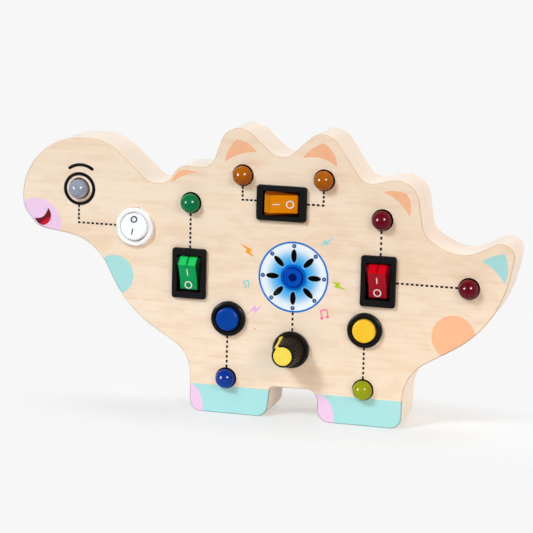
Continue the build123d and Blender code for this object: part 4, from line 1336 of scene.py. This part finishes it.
@dataclass
class Studio:
    """Pale floor, soft lights and the camera."""

    backdrop: float = 0.93
    ambient: float = 0.25
    warmth: tuple[float, float, float, float] = (1.0, 0.88, 0.77, 1.0)
    dark_side: float = 0.1
    azimuth: float = 15.11
    elevation: float = 10.72
    roll: float = 1.46
    distance: float = 925.0
    aim: Place = (2.395, 64.773)
    image_width: float = 533.0
    focal_pixels: float = 2215.0
    floor_reach: float = 6.0
    floor_front: float = 0.12
    shadow_centre: Place = (20.0, 0.0)
    shadow_reach: Place = (150.0, 60.0)
    shadow_core: float = 0.4
    floor_share: float = 0.4
    room_blur: float = 0.3
    sensor_width: float = 36.0
    far_clip: float = 50.0
    lights: tuple[SoftBox, ...] = (
        SoftBox("main_light", (-0.43, -0.65, 0.62), 0.32, 8.9, (0.86, 1.0, 1.11), mirrored=False),
        SoftBox("fill_light", (0.64, -0.66, 0.4), 0.5, 3.6, (1.1, 0.97, 0.86), mirrored=False),
        SoftBox("top_light", (0.3, 0.35, 0.9), 0.8, 5.3, mirrored=False),
        SoftBox("side_light", (0.95, 0.1, 0.3), 0.6, 2.5, mirrored=False),
        SoftBox("left_gleam", (-0.644, -0.723, 0.243), 0.1, 36.0, lighting=False),
        SoftBox("right_gleam", (0.638, -0.659, 0.396), 0.16, 32.0, lighting=False),
    )

    def floor(self) -> None:
        """Pale floor that fades into the backdrop, and ends where glossy pieces would mirror it."""
        mesh = bmesh.new()
        shift = Matrix.Translation((0, self.floor_reach - self.floor_front, 0))
        bmesh.ops.create_grid(mesh, x_segments=1, y_segments=1, size=self.floor_reach, matrix=shift)
        shader = Shader("floor_paper")
        pale = (self.backdrop, self.backdrop, self.backdrop, 1.0)
        shader.finish("Base Color", pale)
        shader.polish(0.9, 0.1)
        x, y, _ = shader.axes()
        across, behind = (
            shader.math("DIVIDE", shader.math("SUBTRACT", part, middle * MM), reach * MM)
            for part, middle, reach in zip((x, y), self.shadow_centre, self.shadow_reach)
        )
        share = shader.ramp(shader.length(across, behind), self.shadow_core, 1.0)
        share = shader.math("MULTIPLY", share, 1 - self.floor_share)
        share = shader.math("ADD", share, self.floor_share)
        rays = shader.node("ShaderNodeLightPath").outputs
        share = shader.math("MULTIPLY", share, rays["Is Camera Ray"])
        glow = shader.node("ShaderNodeEmission")
        glow.inputs["Color"].default_value = pale
        mixed = shader.node("ShaderNodeMixShader")
        shader.feed(mixed.inputs[0], share)
        shader.feed(mixed.inputs[1], shader.surface.outputs[0])
        shader.feed(mixed.inputs[2], glow.outputs[0])
        shader.feed(shader.nodes["Material Output"].inputs["Surface"], mixed.outputs[0])
        plane = add_object("floor", mesh, shader.material)

    def world(self) -> None:
        """Even warm surroundings, with a pale backdrop behind the board and a dark room before it."""
        world = bpy.data.worlds.new("studio")
        bpy.context.scene.world = world
        world.use_nodes = True
        tree = Tree(world.node_tree)
        rays = tree.node("ShaderNodeLightPath").outputs
        way = tree.node("ShaderNodeSeparateXYZ")
        tree.feed(way.inputs[0], tree.node("ShaderNodeTexCoord").outputs["Generated"])
        room = tree.node("ShaderNodeMapRange")
        for name, value in (
            ("Value", way.outputs["Y"]), ("From Min", -self.room_blur), ("From Max", self.room_blur),
            ("To Min", self.dark_side), ("To Max", self.backdrop),
        ):
            tree.feed(room.inputs[name], value)
        mirrored = tree.math("MAXIMUM", rays["Is Glossy Ray"], rays["Is Transmission Ray"])
        around = tree.mix(mirrored, self.ambient, room.outputs["Result"])
        background = tree.nodes["Background"]
        tree.feed(background.inputs["Strength"], tree.mix(rays["Is Camera Ray"], around, self.backdrop))
        tone = tree.blend(rays["Is Diffuse Ray"], (1, 1, 1, 1), self.warmth)
        tree.feed(background.inputs["Color"], tone)

    def camera(self) -> None:
        """Camera before the board, a little to its right and above, with a small roll."""
        azimuth, elevation = math.radians(self.azimuth), math.radians(self.elevation)
        back = Vector((
            math.sin(azimuth) * math.cos(elevation),
            -math.cos(azimuth) * math.cos(elevation),
            math.sin(elevation),
        ))
        right = Vector((math.cos(azimuth), math.sin(azimuth), 0))
        up = back.cross(right)
        turned = Matrix.Rotation(math.radians(self.roll), 3, back)
        right, up = turned @ right, turned @ up
        data = bpy.data.cameras.new("camera")
        data.sensor_width = self.sensor_width
        data.lens = self.sensor_width * self.focal_pixels / self.image_width
        data.clip_end = self.far_clip
        camera = bpy.data.objects.new("camera", data)
        bpy.context.scene.collection.objects.link(camera)
        target = Vector((self.aim[0] * MM, Front.LEVEL, self.aim[1] * MM))
        axes = Matrix((right, up, back)).transposed().to_4x4()
        camera.matrix_world = Matrix.Translation(target + back * self.distance * MM) @ axes
        bpy.context.scene.camera = camera

    def build(self) -> None:
        """Build the floor, the world, the lights and the camera."""
        self.floor()
        self.world()
        for light in self.lights:
            light.build(Vector((0, 0, self.aim[1] * MM)))
        self.camera()
        bpy.context.scene.view_settings.view_transform = "Standard"


def main() -> None:
    """Dress the board, print its art and set the studio."""
    logging.basicConfig(level=logging.INFO)
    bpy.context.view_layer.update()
    Board().dress()
    PrintedArt().build()
    Lamps().dress()
    # Rocker colours: face; face towards its pressed end (painted shade); raised end (painted highlight);
    # cheeks and lines (painted shade).
    RockerSwitch(
        "green", (10, 170, 92), (8, 152, 82), (36, 205, 100), (0, 58, 32), split=0.45,
        on_place=2.1, on_length=3.4, off_place=-3.9,
    ).build()
    RockerSwitch(
        "amber", (234, 142, 0), (226, 130, 0), (222, 132, 10), (136, 62, 4), crease_shade=0.12, turn=90.0,
        on_place=3.05, on_length=3.2, off_place=-2.7,
    ).build()
    RockerSwitch(
        "red", (182, 16, 38), (152, 12, 30), (214, 2, 20), (104, 0, 16), split=0.35,
        on_place=2.1, on_length=2.9, off_place=-3.65,
    ).build()
    RoundSwitch().build()
    PushButton("blue", (0, 66, 158)).build()
    PushButton("yellow", (255, 202, 50)).build()
    RotaryKnob().build()
    SoundDisc().build()
    BatteryBox().dress()
    Studio().build()


if __name__ == "__main__":
    main()
